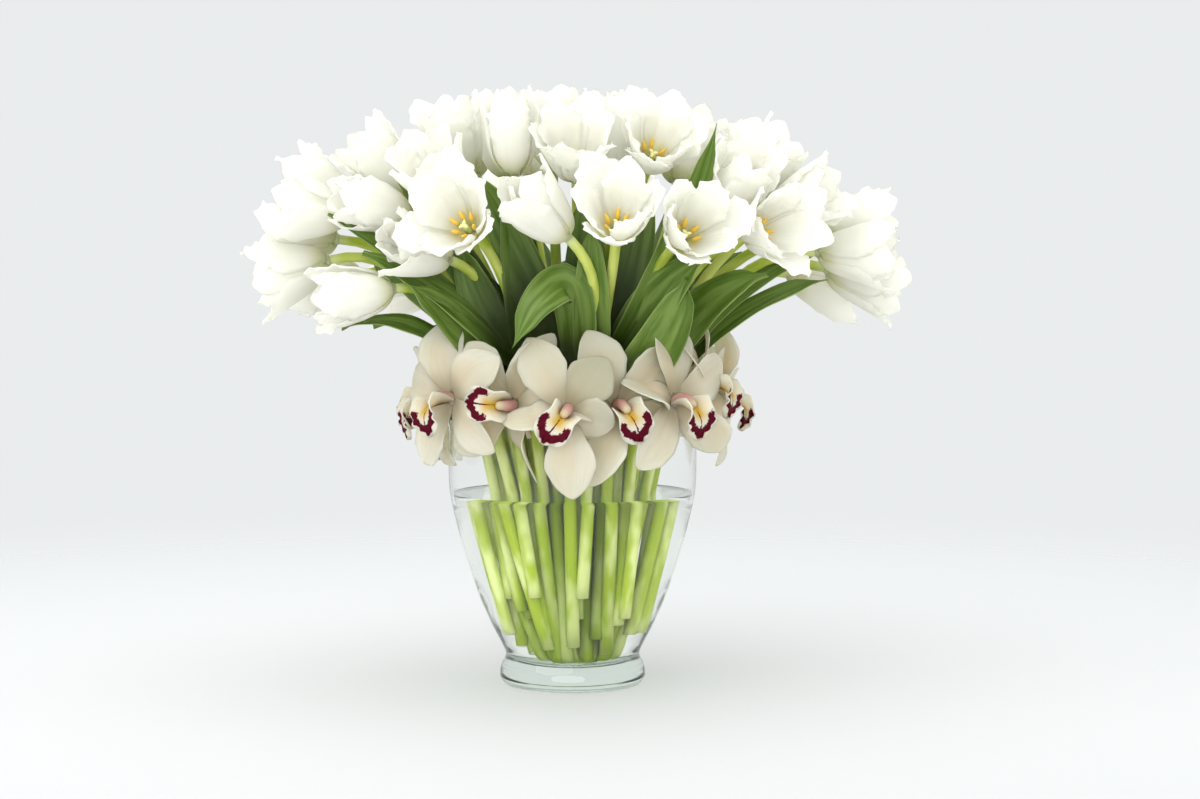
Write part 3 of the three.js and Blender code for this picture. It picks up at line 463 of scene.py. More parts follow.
def leaf_list(stems):
    plain = list(LEAVES)
    for angles, reach, height, lift, half in BACK_FANS:
        for k, angle in enumerate(angles):
            out = direction(angle, 90)
            side, up = 22 * (scatter(k + reach) - 0.5), 24 * (scatter(k + height) - 0.5)
            tip = direction(angle + side, 90) * reach + UP * (height + up)
            base = out * BACK_LEAF_BASE[0] + UP * BACK_LEAF_BASE[1]
            plain.append((base, tip, lift, half, out + UP * 0.5))
    bearers = set()
    leaves = []
    for k, (base, tip, lift, half, face) in enumerate(plain):
        stem, spot = seat_on(stems, base)
        bearers.add(stem.index)
        leaves.append(grow_leaf(tip, lift, half, face, spot, k))
    path = [seat_on(stems, FOLDED_PATH[0])[1], *FOLDED_PATH[1:]]
    leaves.append(Record(curve=lambda s: catmull_rom(path, s), half=FOLDED_HALF, face=unit(FOLDED_FACE),
                         phase=1, seed=99))
    own = [stem for stem in stems if stem.index not in bearers and stem.index % 7 == 0]
    for k, stem in enumerate(own):
        out = direction(stem.bloom.compass + 40 * (scatter(k + 700) - 0.5), 90)
        tip = bezier(stem_knots(stem), 0.62 + 0.2 * scatter(k + 720)) + out * 10
        leaves.append(grow_leaf(tip, 6, 14, out + UP * 0.3, spot_on_stem(stem, OWN_LEAF_BASE), k + 50))
    return leaves


def leaf_half_width(s, half):
    swell = np.sin(math.pi * (0.06 + 0.94 * s)) ** 0.6
    return half * np.maximum(0.3, swell) * np.minimum(1, 8 * (1 - s))


# Waves of a leaf and of its edge, its fold, and its rib's depth and width
LEAF_WAVES = [(1.8, 8, 1, 1.5), (0.7, 23, 3, 2)]
LEAF_KEEL, LEAF_RIB, LEAF_RIB_WIDTH = 0.22, 0.9, 0.14


def leaf_points(leaf, s, t):
    rows = s[:, 0]
    step = 1e-3
    middle = leaf.curve(rows)
    along = unit(leaf.curve(np.minimum(rows + step, 1)) - leaf.curve(np.maximum(rows - step, 0)))
    normal = across(along, leaf.face)
    side = np.cross(along, normal)
    half = np.maximum(leaf_half_width(s, leaf.half), 0.35)
    wave, edge_wave = (ripple(wave, s, t, leaf.phase) for wave in LEAF_WAVES)
    waves = (t * t * wave + np.abs(t) ** 3 * edge_wave) * s
    keel = LEAF_KEEL * half * t * t - LEAF_RIB * hump(t, LEAF_RIB_WIDTH) * (1 - s)
    offset = (keel + waves)[..., None]
    points = middle[:, None] + side[:, None] * (t * half)[..., None] + normal[:, None] * offset
    return points, np.broadcast_to(normal[:, None], points.shape)


# Skins

def put_in_scene(name, data):
    item = bpy.data.objects.new(name, data)
    bpy.context.scene.collection.objects.link(item)
    return item


class Skin:
    """Points, faces, each face's slot, and named numbers that the materials read at each point."""

    def __init__(self, *names):
        self.points = []
        self.faces = []
        self.slots = []
        self.values = {name: [] for name in names}
        self.count = 0

    def add(self, points, faces, slot=0, **values):
        points = points.reshape(-1, 3)
        self.points.append(points)
        self.faces.extend([tuple(k + self.count for k in face) for face in faces])
        self.slots.extend([slot] * len(faces))
        for name, column in self.values.items():
            column.append(np.broadcast_to(values.get(name, 0.0), len(points)))
        self.count += len(points)

    def piece(self, name, looks, slot, *nodes):
        mesh = bpy.data.meshes.new(name)
        mesh.from_pydata((np.concatenate(self.points) * MM).tolist(), [], self.faces)
        mesh.polygons.foreach_set("material_index", self.slots)
        mesh.polygons.foreach_set("use_smooth", [True] * len(self.faces))
        for value_name, column in self.values.items():
            attribute = mesh.attributes.new(value_name, "FLOAT", "POINT")
            attribute.data.foreach_set("value", np.concatenate(column).astype(np.float32))
        for look in looks:
            mesh.materials.append(look)
        mesh.update()
        item = put_in_scene(name, mesh)
        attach(item, "root")
        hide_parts(*nodes)


def grid_faces(rows, columns, closed=False):
    faces = []
    for i in range(0, (rows - 1) * columns, columns):
        for j in range(columns if closed else columns - 1):
            k = (j + 1) % columns
            faces.append((i + j, i + k, i + columns + k, i + columns + j))
    return faces


def add_sheet(skin, points, normals, thickness, **values):
    """A closed thin sheet from a grid of points: two faces and the rim between them."""
    rows, columns = points.shape[:2]
    size = rows * columns
    half = normals * np.asarray(thickness)[..., None] / 2
    both = np.concatenate([points + half, points - half])
    grid = grid_faces(rows, columns)
    faces = grid + [tuple(n + size for n in face[::-1]) for face in grid]
    order = np.arange(size).reshape(rows, columns)
    rim = np.concatenate([order[0], order[1:, -1], order[-1, -2::-1], order[-2:0:-1, 0]]).tolist()
    faces += [(b, a, a + size, b + size) for a, b in zip(rim, rim[1:] + rim[:1])]
    corners = points[:-1, :-1]
    turned = np.cross(points[:-1, 1:] - corners, points[1:, :-1] - corners)
    if np.sum(turned * normals[:-1, :-1]) <= 0:
        faces = [face[::-1] for face in faces]
    values = {name: np.tile(np.broadcast_to(v, (rows, columns)).reshape(-1), 2)
              for name, v in values.items()}
    skin.add(both, faces, front=np.repeat([1.0, 0.0], size), **values)


def tube_faces(rings, sides):
    """Faces of a tube of rings, closed by the two points that follow them."""
    faces = grid_faces(rings, sides, closed=True)
    end = rings * sides
    for j in range(sides):
        k = (j + 1) % sides
        faces += [(end, k, j), (end + 1, end - sides + j, end - sides + k)]
    return faces


def ring_values(values, steps, sides):
    """Numbers of steps, repeated round their rings, and then those of the two closing points."""
    return {name: (np.concatenate([np.repeat(v[steps], sides), [v[0], v[-1]]]) if np.ndim(v) else v)
            for name, v in values.items()}


# Steps of a rounded end, in shares of its radius
ROUND_STEPS = np.array([0.35, 0.72, 0.93])


def add_rod(skin, path, radii, sides, slot=0, rounded=False, around=False, **values):
    """A closed round rod along a path. With around, "across" runs from 0 to 1 round each half."""
    path, radii = np.asarray(path, float), np.asarray(radii, float)
    steps = np.arange(len(path))
    if rounded:
        end = unit(path[-1] - path[-2])
        path = np.append(path, path[-1] + end * (radii[-1] * ROUND_STEPS)[:, None], axis=0)
        radii = np.append(radii, radii[-1] * np.sqrt(1 - ROUND_STEPS ** 2))
        steps = np.append(steps, [steps[-1]] * len(ROUND_STEPS))
    along = unit(np.gradient(path, axis=0))
    side = any_side(along[0])
    turn = np.linspace(0, TURN, sides, endpoint=False)
    rings = []
    for point, heading, radius in zip(path, along, radii):
        side = across(heading, side)
        third = np.cross(heading, side)
        rings.append(point + radius * (np.cos(turn)[:, None] * side + np.sin(turn)[:, None] * third))
    values = ring_values(values, steps, sides)
    if around:
        values["across"] = np.append(np.tile(np.abs(np.linspace(-1, 1, sides)), len(path)), [0, 0])
    skin.add(np.concatenate([*rings, path[:1], path[-1:]]), tube_faces(len(path), sides), slot, **values)


def add_lathe(skin, profile, segments, **values):
    """A closed body turned about the Z axis, from the axis and back to it."""
    turn = np.linspace(0, TURN, segments, endpoint=False)
    rings = [np.stack([r * np.cos(turn), r * np.sin(turn), np.full(segments, z)], 1)
             for r, z in profile[1:-1]]
    points = np.concatenate([*rings, [[0, 0, profile[0][1]], [0, 0, profile[-1][1]]]])
    skin.add(points, tube_faces(len(rings), segments), **ring_values(values, slice(1, -1), segments))


def rounded_line(points, steps=6):
    """A smooth line through points in the plane."""
    return [tuple(p) for p in catmull_rom(points, np.linspace(0, 1, (len(points) - 1) * steps + 1))]


# Materials

# Metres from the middle where the floor starts to fade into the background, and where it is gone
FLOOR_NEAR, FLOOR_FAR = 0.25, 1.4
# Depths in metres between which it darkens a little to the front, painted shade that evens out the lamps'
# stronger light there
FLOOR_FRONT = (-0.1, -0.7)
WATER_IOR, GLASS_IOR = 1.333, 1.5


class Nodes:
    """Makes and joins the nodes of one tree."""

    def __init__(self, tree):
        self.tree = tree

    def join(self, value, socket):
        if isinstance(value, bpy.types.NodeSocket):
            self.tree.links.new(value, socket)
        else:
            socket.default_value = (*value, 1.0) if isinstance(value, tuple) else value

    def node(self, kind, result=0, settings=None, **inputs):
        node = self.tree.nodes.new(kind)
        for key, value in (settings or {}).items():
            setattr(node, key, value)
        for key, value in inputs.items():
            place = int(key[1:]) if key[0] == "_" else key.replace("_", " ")
            self.join(value, node.inputs[place])
        return node.outputs[result]

    def sums(self, operation, a, b=0.0, c=0.0, clamp=False):
        settings = {"operation": operation, "use_clamp": clamp}
        return self.node("ShaderNodeMath", 0, settings, _0=a, _1=b, _2=c)

    def times(self, a, b):
        return self.sums("MULTIPLY", a, b)

    def span(self, value, low, high, top=1.0):
        """0 to top while value goes from low to high."""
        return self.node("ShaderNodeMapRange", 0, {"interpolation_type": "SMOOTHSTEP"}, Value=value,
                         From_Min=low, From_Max=high, To_Max=top)


class Look(Nodes):
    """A procedural material."""

    def __init__(self, name):
        self.material = bpy.data.materials.new(name)
        self.material.use_nodes = True
        super().__init__(self.material.node_tree)
        self.tree.nodes.clear()

    def value(self, name):
        return self.node("ShaderNodeAttribute", "Fac", {"attribute_name": name})

    def mix(self, factor, a, b):
        return self.node("ShaderNodeMix", 2, {"data_type": "RGBA"}, _0=factor, _6=a, _7=b)

    def wash(self, body, other, value, share):
        """The body turned to another colour by a share of a value."""
        return self.mix(self.times(value, share), body, other)

    def tint(self, body, other, value, low, high, share=1.0):
        """The body turned to another colour where a value goes from low to high."""
        return self.mix(self.span(value, low, high, share), body, other)

    def noise(self, place, scale, detail, roughness=0.5):
        return self.node("ShaderNodeTexNoise", "Fac", Vector=place, Scale=scale, Detail=detail,
                         Roughness=roughness)

    def grain(self, first, second, scale, detail=2.0):
        """Noise over two of the piece's numbers, each given with its factor."""
        x, y = self.times(*first), self.times(*second)
        place = self.node("ShaderNodeCombineXYZ", X=x, Y=y, Z=self.value("seed"))
        return self.noise(place, scale, detail)

    def speckle(self, scale, detail, roughness=0.5):
        """Noise over the piece's place in space."""
        return self.noise(self.node("ShaderNodeTexCoord", "Object"), scale, detail, roughness)

    def bump(self, height, strength, distance):
        return self.node("ShaderNodeBump", Height=height, Strength=strength, Distance=distance)

    def principled(self, **inputs):
        return self.node("ShaderNodeBsdfPrincipled", **inputs)

    def open_way(self, tint):
        return self.node("ShaderNodeBsdfTransparent", Color=tint)

    def blend(self, share, a, b):
        """Ends with a mix of two shaders."""
        return self.done(self.node("ShaderNodeMixShader", _0=share, _1=a, _2=b))

    def thin(self, share, body, normal, through=None, **inputs):
        """Ends with a thin skin, of which a share lets light through."""
        solid = self.principled(Base_Color=body, Normal=normal, **inputs)
        lit = body if through is None else through
        return self.blend(share, solid, self.node("ShaderNodeBsdfTranslucent", Color=lit, Normal=normal))

    def done(self, shader):
        self.join(shader, self.tree.nodes.new("ShaderNodeOutputMaterial").inputs["Surface"])
        return self.material


# Colours of the clear solids
CLEAR = (0.985, 0.995, 0.985)
CLEAR_WATER = (0.985, 0.998, 0.985)
GLASS_FOOT = (0.75, 0.83, 0.77)
WET_MIRROR = (0.1, 0.1, 0.1)
WHITE = (1, 1, 1)


def petal_look():
    look = Look("tulip_petal")
    s, t, outside = look.value("along"), look.value("across"), look.value("front")
    streaks = look.grain((t, 16.0), (s, 1.6), 1.0, 3.0)
    cloud = look.grain((t, 1.0), (s, 2.0), 1.7)
    body = look.mix(cloud, (0.958, 0.955, 0.925), (0.948, 0.943, 0.888))
    body = look.tint(body, (0.913, 0.905, 0.823), streaks, 0.45, 0.75, 0.3)
    green_base = look.times(look.span(s, 0.34, 0.04), outside)
    body = look.wash(body, (0.74, 0.79, 0.50), green_base, 0.7)
    gold_base = look.times(look.span(s, 0.36, 0.06), look.sums("SUBTRACT", 1.0, outside))
    body = look.wash(body, (0.95, 0.86, 0.48), gold_base, 0.75)
    return look.thin(0.6, body, look.bump(streaks, 0.4, 0.0008), Roughness=0.5, Sheen_Weight=0.15,
                     Sheen_Roughness=0.5, Specular_IOR_Level=0.35)


def pistil_look():
    look = Look("tulip_pistil")
    s = look.value("along")
    grain = look.grain((s, 8.0), (look.value("across"), 1.0), 3.0)
    body = look.tint((0.50, 0.60, 0.20), (0.86, 0.80, 0.38), s, 0.75, 1.0)
    body = look.wash(body, (0.62, 0.66, 0.30), grain, 0.4)
    return look.done(look.principled(Base_Color=body, Roughness=0.55, Normal=look.bump(grain, 0.3, 0.0005)))


def grainy_look(name, colours, scale, detail, roughness, bump):
    look = Look(name)
    grain = look.speckle(scale, detail)
    body = look.mix(grain, *colours)
    return look.done(look.principled(Base_Color=body, Roughness=roughness, Normal=look.bump(grain, *bump)))


def stem_look():
    look = Look("tulip_stem")
    s, t = look.value("along"), look.value("across")
    bloomy = look.grain((s, 6.0), (t, 0.6), 1.3)
    fibres = look.grain((s, 3.0), (t, 26.0), 1.0)
    wet = look.tint((0.42, 0.54, 0.03), (0.78, 0.84, 0.34), bloomy, 0.40, 0.62)
    dry = look.tint((0.33, 0.43, 0.035), (0.60, 0.66, 0.16), bloomy, 0.35, 0.65)
    body = look.tint(wet, dry, s, 0.42, 0.62)
    body = look.tint(body, (0.62, 0.68, 0.32), fibres, 0.5, 0.8, 0.35)
    body = look.tint(body, (0.72, 0.76, 0.45), s, 0.97, 1.0, 0.6)
    # Painted shade darkens the stems in the middle of the bunch
    body = look.wash(body, (0.12, 0.20, 0.004), look.value("deep"), 0.6)
    return look.thin(0.15, body, look.bump(fibres, 0.3, 0.0005), Roughness=0.5, Specular_IOR_Level=0.1)


def leaf_look():
    look = Look("tulip_leaf")
    s, t = look.value("along"), look.value("across")
    veins = look.grain((t, 30.0), (s, 1.5), 1.0)
    broad = look.span(look.grain((t, 3.0), (s, 3.0), 1.0, 3.0), 0.3, 0.7)
    upper = look.mix(broad, (0.068, 0.135, 0.008), (0.185, 0.28, 0.06))
    under = look.mix(broad, (0.087, 0.158, 0.022), (0.205, 0.30, 0.098))
    body = look.mix(look.value("front"), under, upper)
    body = look.tint(body, (0.20, 0.29, 0.09), veins, 0.5, 0.8, 0.4)
    body = look.tint(body, (0.30, 0.40, 0.10), s, 0.22, 0.0, 0.5)
    body = look.tint(body, (0.40, 0.48, 0.17), look.sums("ABSOLUTE", t), 0.93, 1.0, 0.6)
    # Painted shade, nearly black, darkens the leaves in the middle of the bunch and low down
    body = look.wash(body, (0.008, 0.016, 0.0015), look.value("deep"), 0.9)
    through = look.mix(0.6, body, (0.26, 0.40, 0.02))
    return look.thin(0.22, body, look.bump(veins, 0.3, 0.0006), through, Roughness=0.38,
                     Specular_IOR_Level=0.3)


def orchid_look():
    look = Look("orchid_tepal")
    s, t = look.value("along"), look.value("across")
    veins = look.grain((t, 13.0), (s, 2.2), 1.0)
    cloud = look.grain((t, 1.0), (s, 1.4), 1.3)
    body = look.tint((0.85, 0.835, 0.745), (0.83, 0.79, 0.66), cloud, 0.3, 0.7)
    body = look.tint(body, (0.66, 0.61, 0.45), veins, 0.5, 0.8, 0.3)
    body = look.tint(body, (0.82, 0.81, 0.74), look.sums("ABSOLUTE", t), 0.8, 1.0, 0.7)
    # Painted shade dulls the tepals and darkens their roots, and a painted shadow lies on the lip under the
    # column; the flush, gold, pink and crimson band are the flower's own colours.
    for name, share, other in (
            ("shade", 1.0, (0.52, 0.505, 0.36)), ("throat", 1.0, (0.40, 0.33, 0.17)),
            ("flush", 0.65, (0.80, 0.64, 0.42)), ("gold", 1.0, (0.70, 0.47, 0.035)),
            ("pink", 1.0, (0.60, 0.20, 0.18)), ("hollow", 1.0, (0.15, 0.05, 0.008))):
        body = look.wash(body, other, look.value(name), share)
    raggedness = look.times(look.sums("SUBTRACT", look.speckle(650.0, 3.0, 0.65), 0.5), 1.5)
    ragged = look.sums("ADD", look.value("band"), raggedness)
    body = look.tint(body, (0.135, 0.0, 0.015), ragged, 0.48, 0.56)
    return look.thin(0.5, body, look.bump(veins, 0.3, 0.0007), Roughness=0.5, Specular_IOR_Level=0.16)


def clear_look(name, tint, refraction, thick_tint=None):
    """A clear solid that lets light on what stands in it pass. It mirrors less where it is wet."""
    look = Look(name)
    if thick_tint:
        tint = look.mix(look.value("thick"), tint, thick_tint)
    mirror = look.mix(look.value("wet"), WHITE, WET_MIRROR)
    solid = look.principled(Base_Color=tint, Roughness=0.0, IOR=refraction, Transmission_Weight=1.0,
                            Specular_Tint=mirror)
    shadow, diffuse = (look.node("ShaderNodeLightPath", ray) for ray in ("Is Shadow Ray", "Is Diffuse Ray"))
    return look.blend(look.sums("MAXIMUM", shadow, diffuse), solid, look.open_way(CLEAR))


def surface_look():
    """The water's flat top, which is seen almost along it and mirrors what is behind."""
    look = Look("water_surface")
    mirror = look.node("ShaderNodeBsdfGlossy", Color=(0.95, 0.98, 0.95), Roughness=0.02)
    return look.blend(0.6, look.open_way((0.96, 0.985, 0.96)), mirror)


def floor_look():
    look = Look("floor_paper")
    place = look.node("ShaderNodeTexCoord", "Object")
    reach = look.node("ShaderNodeVectorMath", "Value", {"operation": "LENGTH"}, _0=place)
    depth = look.node("ShaderNodeSeparateXYZ", "Y", Vector=place)
    shade = look.mix(look.span(depth, *FLOOR_FRONT), (0.588, 0.591, 0.593), (0.54, 0.543, 0.545))
    paper = look.principled(Base_Color=shade, Roughness=0.75, Specular_IOR_Level=0.2)
    return look.blend(look.span(reach, FLOOR_NEAR, FLOOR_FAR), paper, look.open_way(WHITE))


# Tulips

blooms = bloom_list()
settle_petals(blooms)
stems = stem_list(blooms)
leaves = leaf_list(stems)


def sheet_thickness(s, t, edge, more, loss):
    """Thickness at the edges, what the middle has more, and the share of that lost at the tip."""
    return edge + more * (1 - t ** 2) * (1 - loss * s)


def sheet_places(rows, columns, start=0.0, crowding=1.0):
    """Places along and across a sheet, with its rows crowded towards its tip."""
    along = 1 - (1 - np.linspace(start, 1, rows)) ** crowding
    return np.meshgrid(along, np.linspace(-1, 1, columns), indexing="ij")


petal_places = sheet_places(33, 13, 0.02, 1.15)
leaf_places = sheet_places(30, 11)
anther_look = grainy_look(
    "tulip_anther", [(0.88, 0.50, 0.04), (0.95, 0.68, 0.12)], 1500.0, 3.0, 0.85, (0.6, 0.0005))
bloom_looks = [petal_look(), pistil_look(), anther_look]

# Places along the bloom's axis and radii there
NECK = [(-0.3, 3.3), (0.8, 4.2), (2.2, 4.6), (3.6, 3.4)]
PISTIL = [(2, 2), (6, 2.3), (11, 2.2), (15, 1.8)]
# A lobe of the pistil: height, distance out and radius
LOBE = [(14.6, 0.4, 1.3), (15.6, 1.7, 1.3), (15.4, 3.0, 0.7)]
# Places along a stamen and radii there
FILAMENT = [(0, 0.85), (5, 0.7), (9.5, 0.5)]
ANTHER = [(8, 0.7), (9.5, 1.45), (13.5, 1.35), (16.5, 0.6)]
STAMENS = 6


def rod_on(root, heading, rows):
    """Path and radii of a rod, from rows of the distance along a heading and the radius there."""
    distances, radii = np.array(rows, float).T
    return root + heading * distances[:, None], radii


def build_bloom(bloom):
    skin = Skin("along", "across", "seed", "front")
    seed = bloom.index * 3.7
    axis, base = bloom.axis, bloom.base
    s, t = petal_places
    for petal in bloom.petals:
        add_sheet(skin, *petal_points(bloom, petal, s, t, fine=True), sheet_thickness(s, t, 0.55, 0.75, 0.6),
                  along=s, across=t, seed=seed + petal.compass * 0.01)
    # The neck carries the petals
    add_rod(skin, *rod_on(base, axis, NECK), 14, along=0.06, seed=seed, front=1.0)
    heights = np.array(PISTIL)[:, 0]
    add_rod(skin, *rod_on(base, axis, PISTIL), 10, 1, along=heights / PISTIL_HEIGHT, across=0.3, seed=seed)
    for k in range(3):
        out = outward_from(bloom, bloom.spin + 120 * k)
        lobe = [base + axis * height + out * reach for height, reach, _ in LOBE]
        add_rod(skin, lobe, [radius for *_, radius in LOBE], 8, 1, rounded=True,
                along=np.array([0.9, 1.0, 1.0]), across=0.5, seed=seed)
    for k in range(STAMENS):
        turn = (k + 0.5 * scatter(k + bloom.index)) * 360 / STAMENS
        out = outward_from(bloom, bloom.spin + turn)
        lean = 0.12 + 0.3 * max(bloom.open, 0) * (0.7 + 0.6 * scatter(bloom.index * 6 + k + 11))
        rise = unit(axis + out * lean)
        root = base + axis * 3 + out * 2.6
        add_rod(skin, *rod_on(root, rise, FILAMENT), 6, 1, along=np.array([0.3, 0.4, 0.5]), across=0.1,
                seed=seed)
        add_rod(skin, *rod_on(root, rise, ANTHER), 8, 2, rounded=True)
    number = f"{bloom.index + 1:02d}"
    skin.piece(f"tulip_{number}", bloom_looks, "white_petal", f"tulip_bloom_{number}")


for bloom in blooms:
    build_bloom(bloom)


STEM_STRAIGHT, STEM_BENT, STEM_SIDES = 9, 16, 12
WET_RADIUS, TOP_RADIUS, CUT_RADIUS = 3.95, 3.35, 3.4
# Shares of the bunch's radius between which the stems turn dark with painted shade, towards the bunch's
# middle
INNER_STEMS = (0.85, 0.45)


def build_stems():
    skin = Skin("along", "across", "seed", "deep")
    for stem in stems:
        foot, rise, seed = stem.foot, stem.rise, 5.3 * stem.index
        straight = foot + (stem.top - foot) * np.linspace(0, 1, STEM_STRAIGHT)[:-1, None]
        path = np.append(straight, bezier(stem_knots(stem), np.linspace(0, 1, STEM_BENT)), axis=0)
        wet = WET_RADIUS * (0.97 + 0.06 * scatter(stem.index + 15))
        radii = np.append([wet] * len(straight), np.linspace(wet, TOP_RADIUS, STEM_BENT))
        steps = np.append(0, np.cumsum(np.linalg.norm(np.diff(path, axis=0), axis=1)))
        bunch = np.interp(path[:, 2], [FOOT_PLANE, RIM_PLANE], [BUNCH_AT_FOOT, BUNCH_AT_RIM])
        deep = smooth(*INNER_STEMS, np.hypot(path[:, 0], path[:, 1]) / bunch)
        add_rod(skin, path, radii, STEM_SIDES, around=True, along=steps / steps[-1], seed=seed, deep=deep)
        add_rod(skin, [foot - rise * 0.15, foot + rise * 0.3], [CUT_RADIUS] * 2, STEM_SIDES, 1, seed=seed)
    cut_look = grainy_look(
        "stem_cut", [(0.60, 0.68, 0.36), (0.78, 0.80, 0.58)], 900.0, 2.0, 0.6, (0.4, 0.0004))
    skin.piece("stems", [stem_look(), cut_look], "leaf_green", "stems_and_leaves")


# Radii and heights between which painted shade darkens the leaves towards the bunch's middle, and downwards
DEEP_RADII, DEEP_HEIGHTS = (102, 72), (350, 265)


def build_leaves():
    skin = Skin("along", "across", "seed", "front", "deep")
    s, t = leaf_places
    for leaf in leaves:
        points, normals = leaf_points(leaf, s, t)
        thickness = sheet_thickness(s, t, 0.6, 0.8, 0.5)
        away = np.hypot(points[..., 0], points[..., 1])
        deep = smooth(*DEEP_RADII, away) * smooth(*DEEP_HEIGHTS, points[..., 2])
        add_sheet(skin, points, normals, thickness, along=s, across=t, seed=2.9 * leaf.seed, deep=deep)
    skin.piece("leaves", [leaf_look()], "leaf_green", "stems_and_leaves")


build_stems()
build_leaves()


# Orchids

# Painted shade on each tepal, towards a dull grey-brown: most on the top one, least on the two below
TEPAL_PAINTED_SHADES = (0.85, 0.45, 0.45, 0.12, 0.12)
# Waves of a tepal's outline and of its face
TEPAL_SWELLS = [(0.03, 11, 1, 0), (0.02, 29, 2, 0)]
TEPAL_WAVE = (1.0, 7, 1, 2)
# Places along the lip and what it measures there: its half-width, of two side lobes, a notch and a broad
# front lobe, and how far its edges stand up
LIP_HALF = [
    (0, 4), (0.2, 7), (0.42, 10.3), (0.52, 9.2), (0.62, 11.2), (0.72, 12.3), (0.82, 12), (0.9, 10.2),
    (0.95, 7.8), (0.98, 5.3), (1, 2.5),
]
LIP_CUP = [(0, 0), (0.2, 6), (0.42, 10.5), (0.55, 6), (0.68, 2), (0.85, 0), (1, -1.5)]
LIP_REACH, LIP_BOW, LIP_DROP = 25, 2.1, 17
FRONT_LOBE = 0.62
# The column: points on its middle, then rows of the place along it and its radius, pink and gold there
COLUMN_PATH = [(0, -2, -3), (0, 2, 6), (0, 1.5, 13), (0, -1.5, 18)]
COLUMN_RADIUS = [(0, 4), (0.33, 3.5), (0.66, 3.7), (1, 2.9)]
COLUMN_PINK = [(0, 0.2), (0.3, 0.6), (0.7, 0.75), (0.9, 0.45), (1, 0.05)]
COLUMN_GOLD = [(0, 0), (0.8, 0), (1, 0.35)]
STALK_RADIUS = 1.75

tepal_places = sheet_places(21, 13, 0.0, 1.3)
lip_places = sheet_places(30, 25, 0.02)
column_s = np.linspace(0, 1, 13)
orchid_material = orchid_look()


def tepal_half_width(s):
    rising = np.maximum(0.3, (s / 0.5) ** 0.6)
    falling = np.maximum(0, 1 - (np.maximum(s - 0.5, 0) / 0.5) ** 2.2) ** 0.7
    return TEPAL_WIDTH / 2 * np.where(s < 0.5, rising, falling)


def grid_normals(points):
    return unit(np.cross(np.gradient(points, axis=1), np.gradient(points, axis=0)) + 1e-9)


def add_tepal(skin, at, seed, angle, reach, twist, painted_shade_share):
    s, t = tepal_places
    phase = PHASE_SPAN * scatter(seed + 41)
    half = np.maximum(tepal_half_width(s), 0.5)
    half = half * (1 + sum(ripple(wave, s, t, phase) for wave in TEPAL_SWELLS))
    turned = twist * np.minimum(1, 2 * s)
    level = half * t * np.cos(turned)
    lean = 9 * (scatter(seed + 17) - 0.5) - 3
    out = TEPAL_ROOT + s * (TEPAL_LENGTH * reach - TEPAL_ROOT)
    c, d = cos_sin(angle)
    bow = np.sin(math.pi * s)
    z = (5 * bow + lean * s ** 2 + 0.14 * half * t ** 2 + half * t * np.sin(turned)
         + t ** 2 * ripple(TEPAL_WAVE, s, t, phase) - 0.6 * hump(t, 0.13) * bow)
    points = at(c * out - d * level, d * out + c * level, z)
    flush = (0.25 + 0.75 * scatter(seed + 5)) * hump(s - 0.4, 0.3) * hump(t - 0.5 + scatter(seed + 8), 0.6)
    thickness = sheet_thickness(s, t, 0.6, 0.7, 0.5)
    # Painted shade darkens each tepal towards its root, where the tepals meet.
    add_sheet(skin, points, grid_normals(points), thickness, along=s, across=t, seed=seed * 1.9, flush=flush,
              throat=0.6 * smooth(0.42, 0.1, s), shade=painted_shade_share * (0.4 + 0.6 * scatter(seed + 23)))


def add_lip(skin, at, index, up, forward):
    s, t = lip_places
    slope = np.arctan2(6 + 3 * LIP_DROP * s ** 2, LIP_REACH * LIP_BOW * np.cos(LIP_BOW * s))
    past = np.maximum(s - FRONT_LOBE, 0) / (1 - FRONT_LOBE)
    margin = np.clip(np.hypot(t, past), 0, 1.3)
    frill = np.sin(15 * np.arctan2(t, past + 0.15) + 6 * scatter(index + 3))
    frill = 1.3 * frill * smooth(0.65, 1.05, margin) * smooth(0.4, 0.6, s)
    ridge = 1.2 * hump(np.abs(t) - 0.17, 0.09) * smooth(0.05, 0.2, s) * smooth(0.62, 0.5, s)
    lift = table(s, LIP_CUP) * t ** 2 + frill + ridge
    lean = up * np.cos(slope)[..., None] + forward * np.sin(slope)[..., None]
    down = 2 + 6 * s + LIP_DROP * s ** 3
    points = at(table(s, LIP_HALF) * t, -down, LIP_REACH * np.sin(LIP_BOW * s)) + lean * lift[..., None]
    band = smooth(0.34, 0.74, margin) * smooth(1.0, 0.93, margin) * smooth(0.52, 0.64, s)
    streak = 0.9 * hump(t, 0.05) * smooth(0.4, 0.5, s) * smooth(0.86, 0.8, s)
    freckles = 0.3 * smooth(0.3, 0.5, s) * smooth(0.6, 0.45, s) * smooth(0.5, 0.8, np.abs(t))
    # A painted shadow, dark brown, lies on the lip's middle under the column's tip.
    add_sheet(skin, points, grid_normals(points), 0.9, along=s, across=t, seed=index * 2.3,
              band=np.maximum(np.maximum(band, streak), freckles),
              gold=hump(t, 0.5) * smooth(0.78, 0.56, s), hollow=0.9 * hump(t, 0.6) * smooth(0.44, 0.24, s))


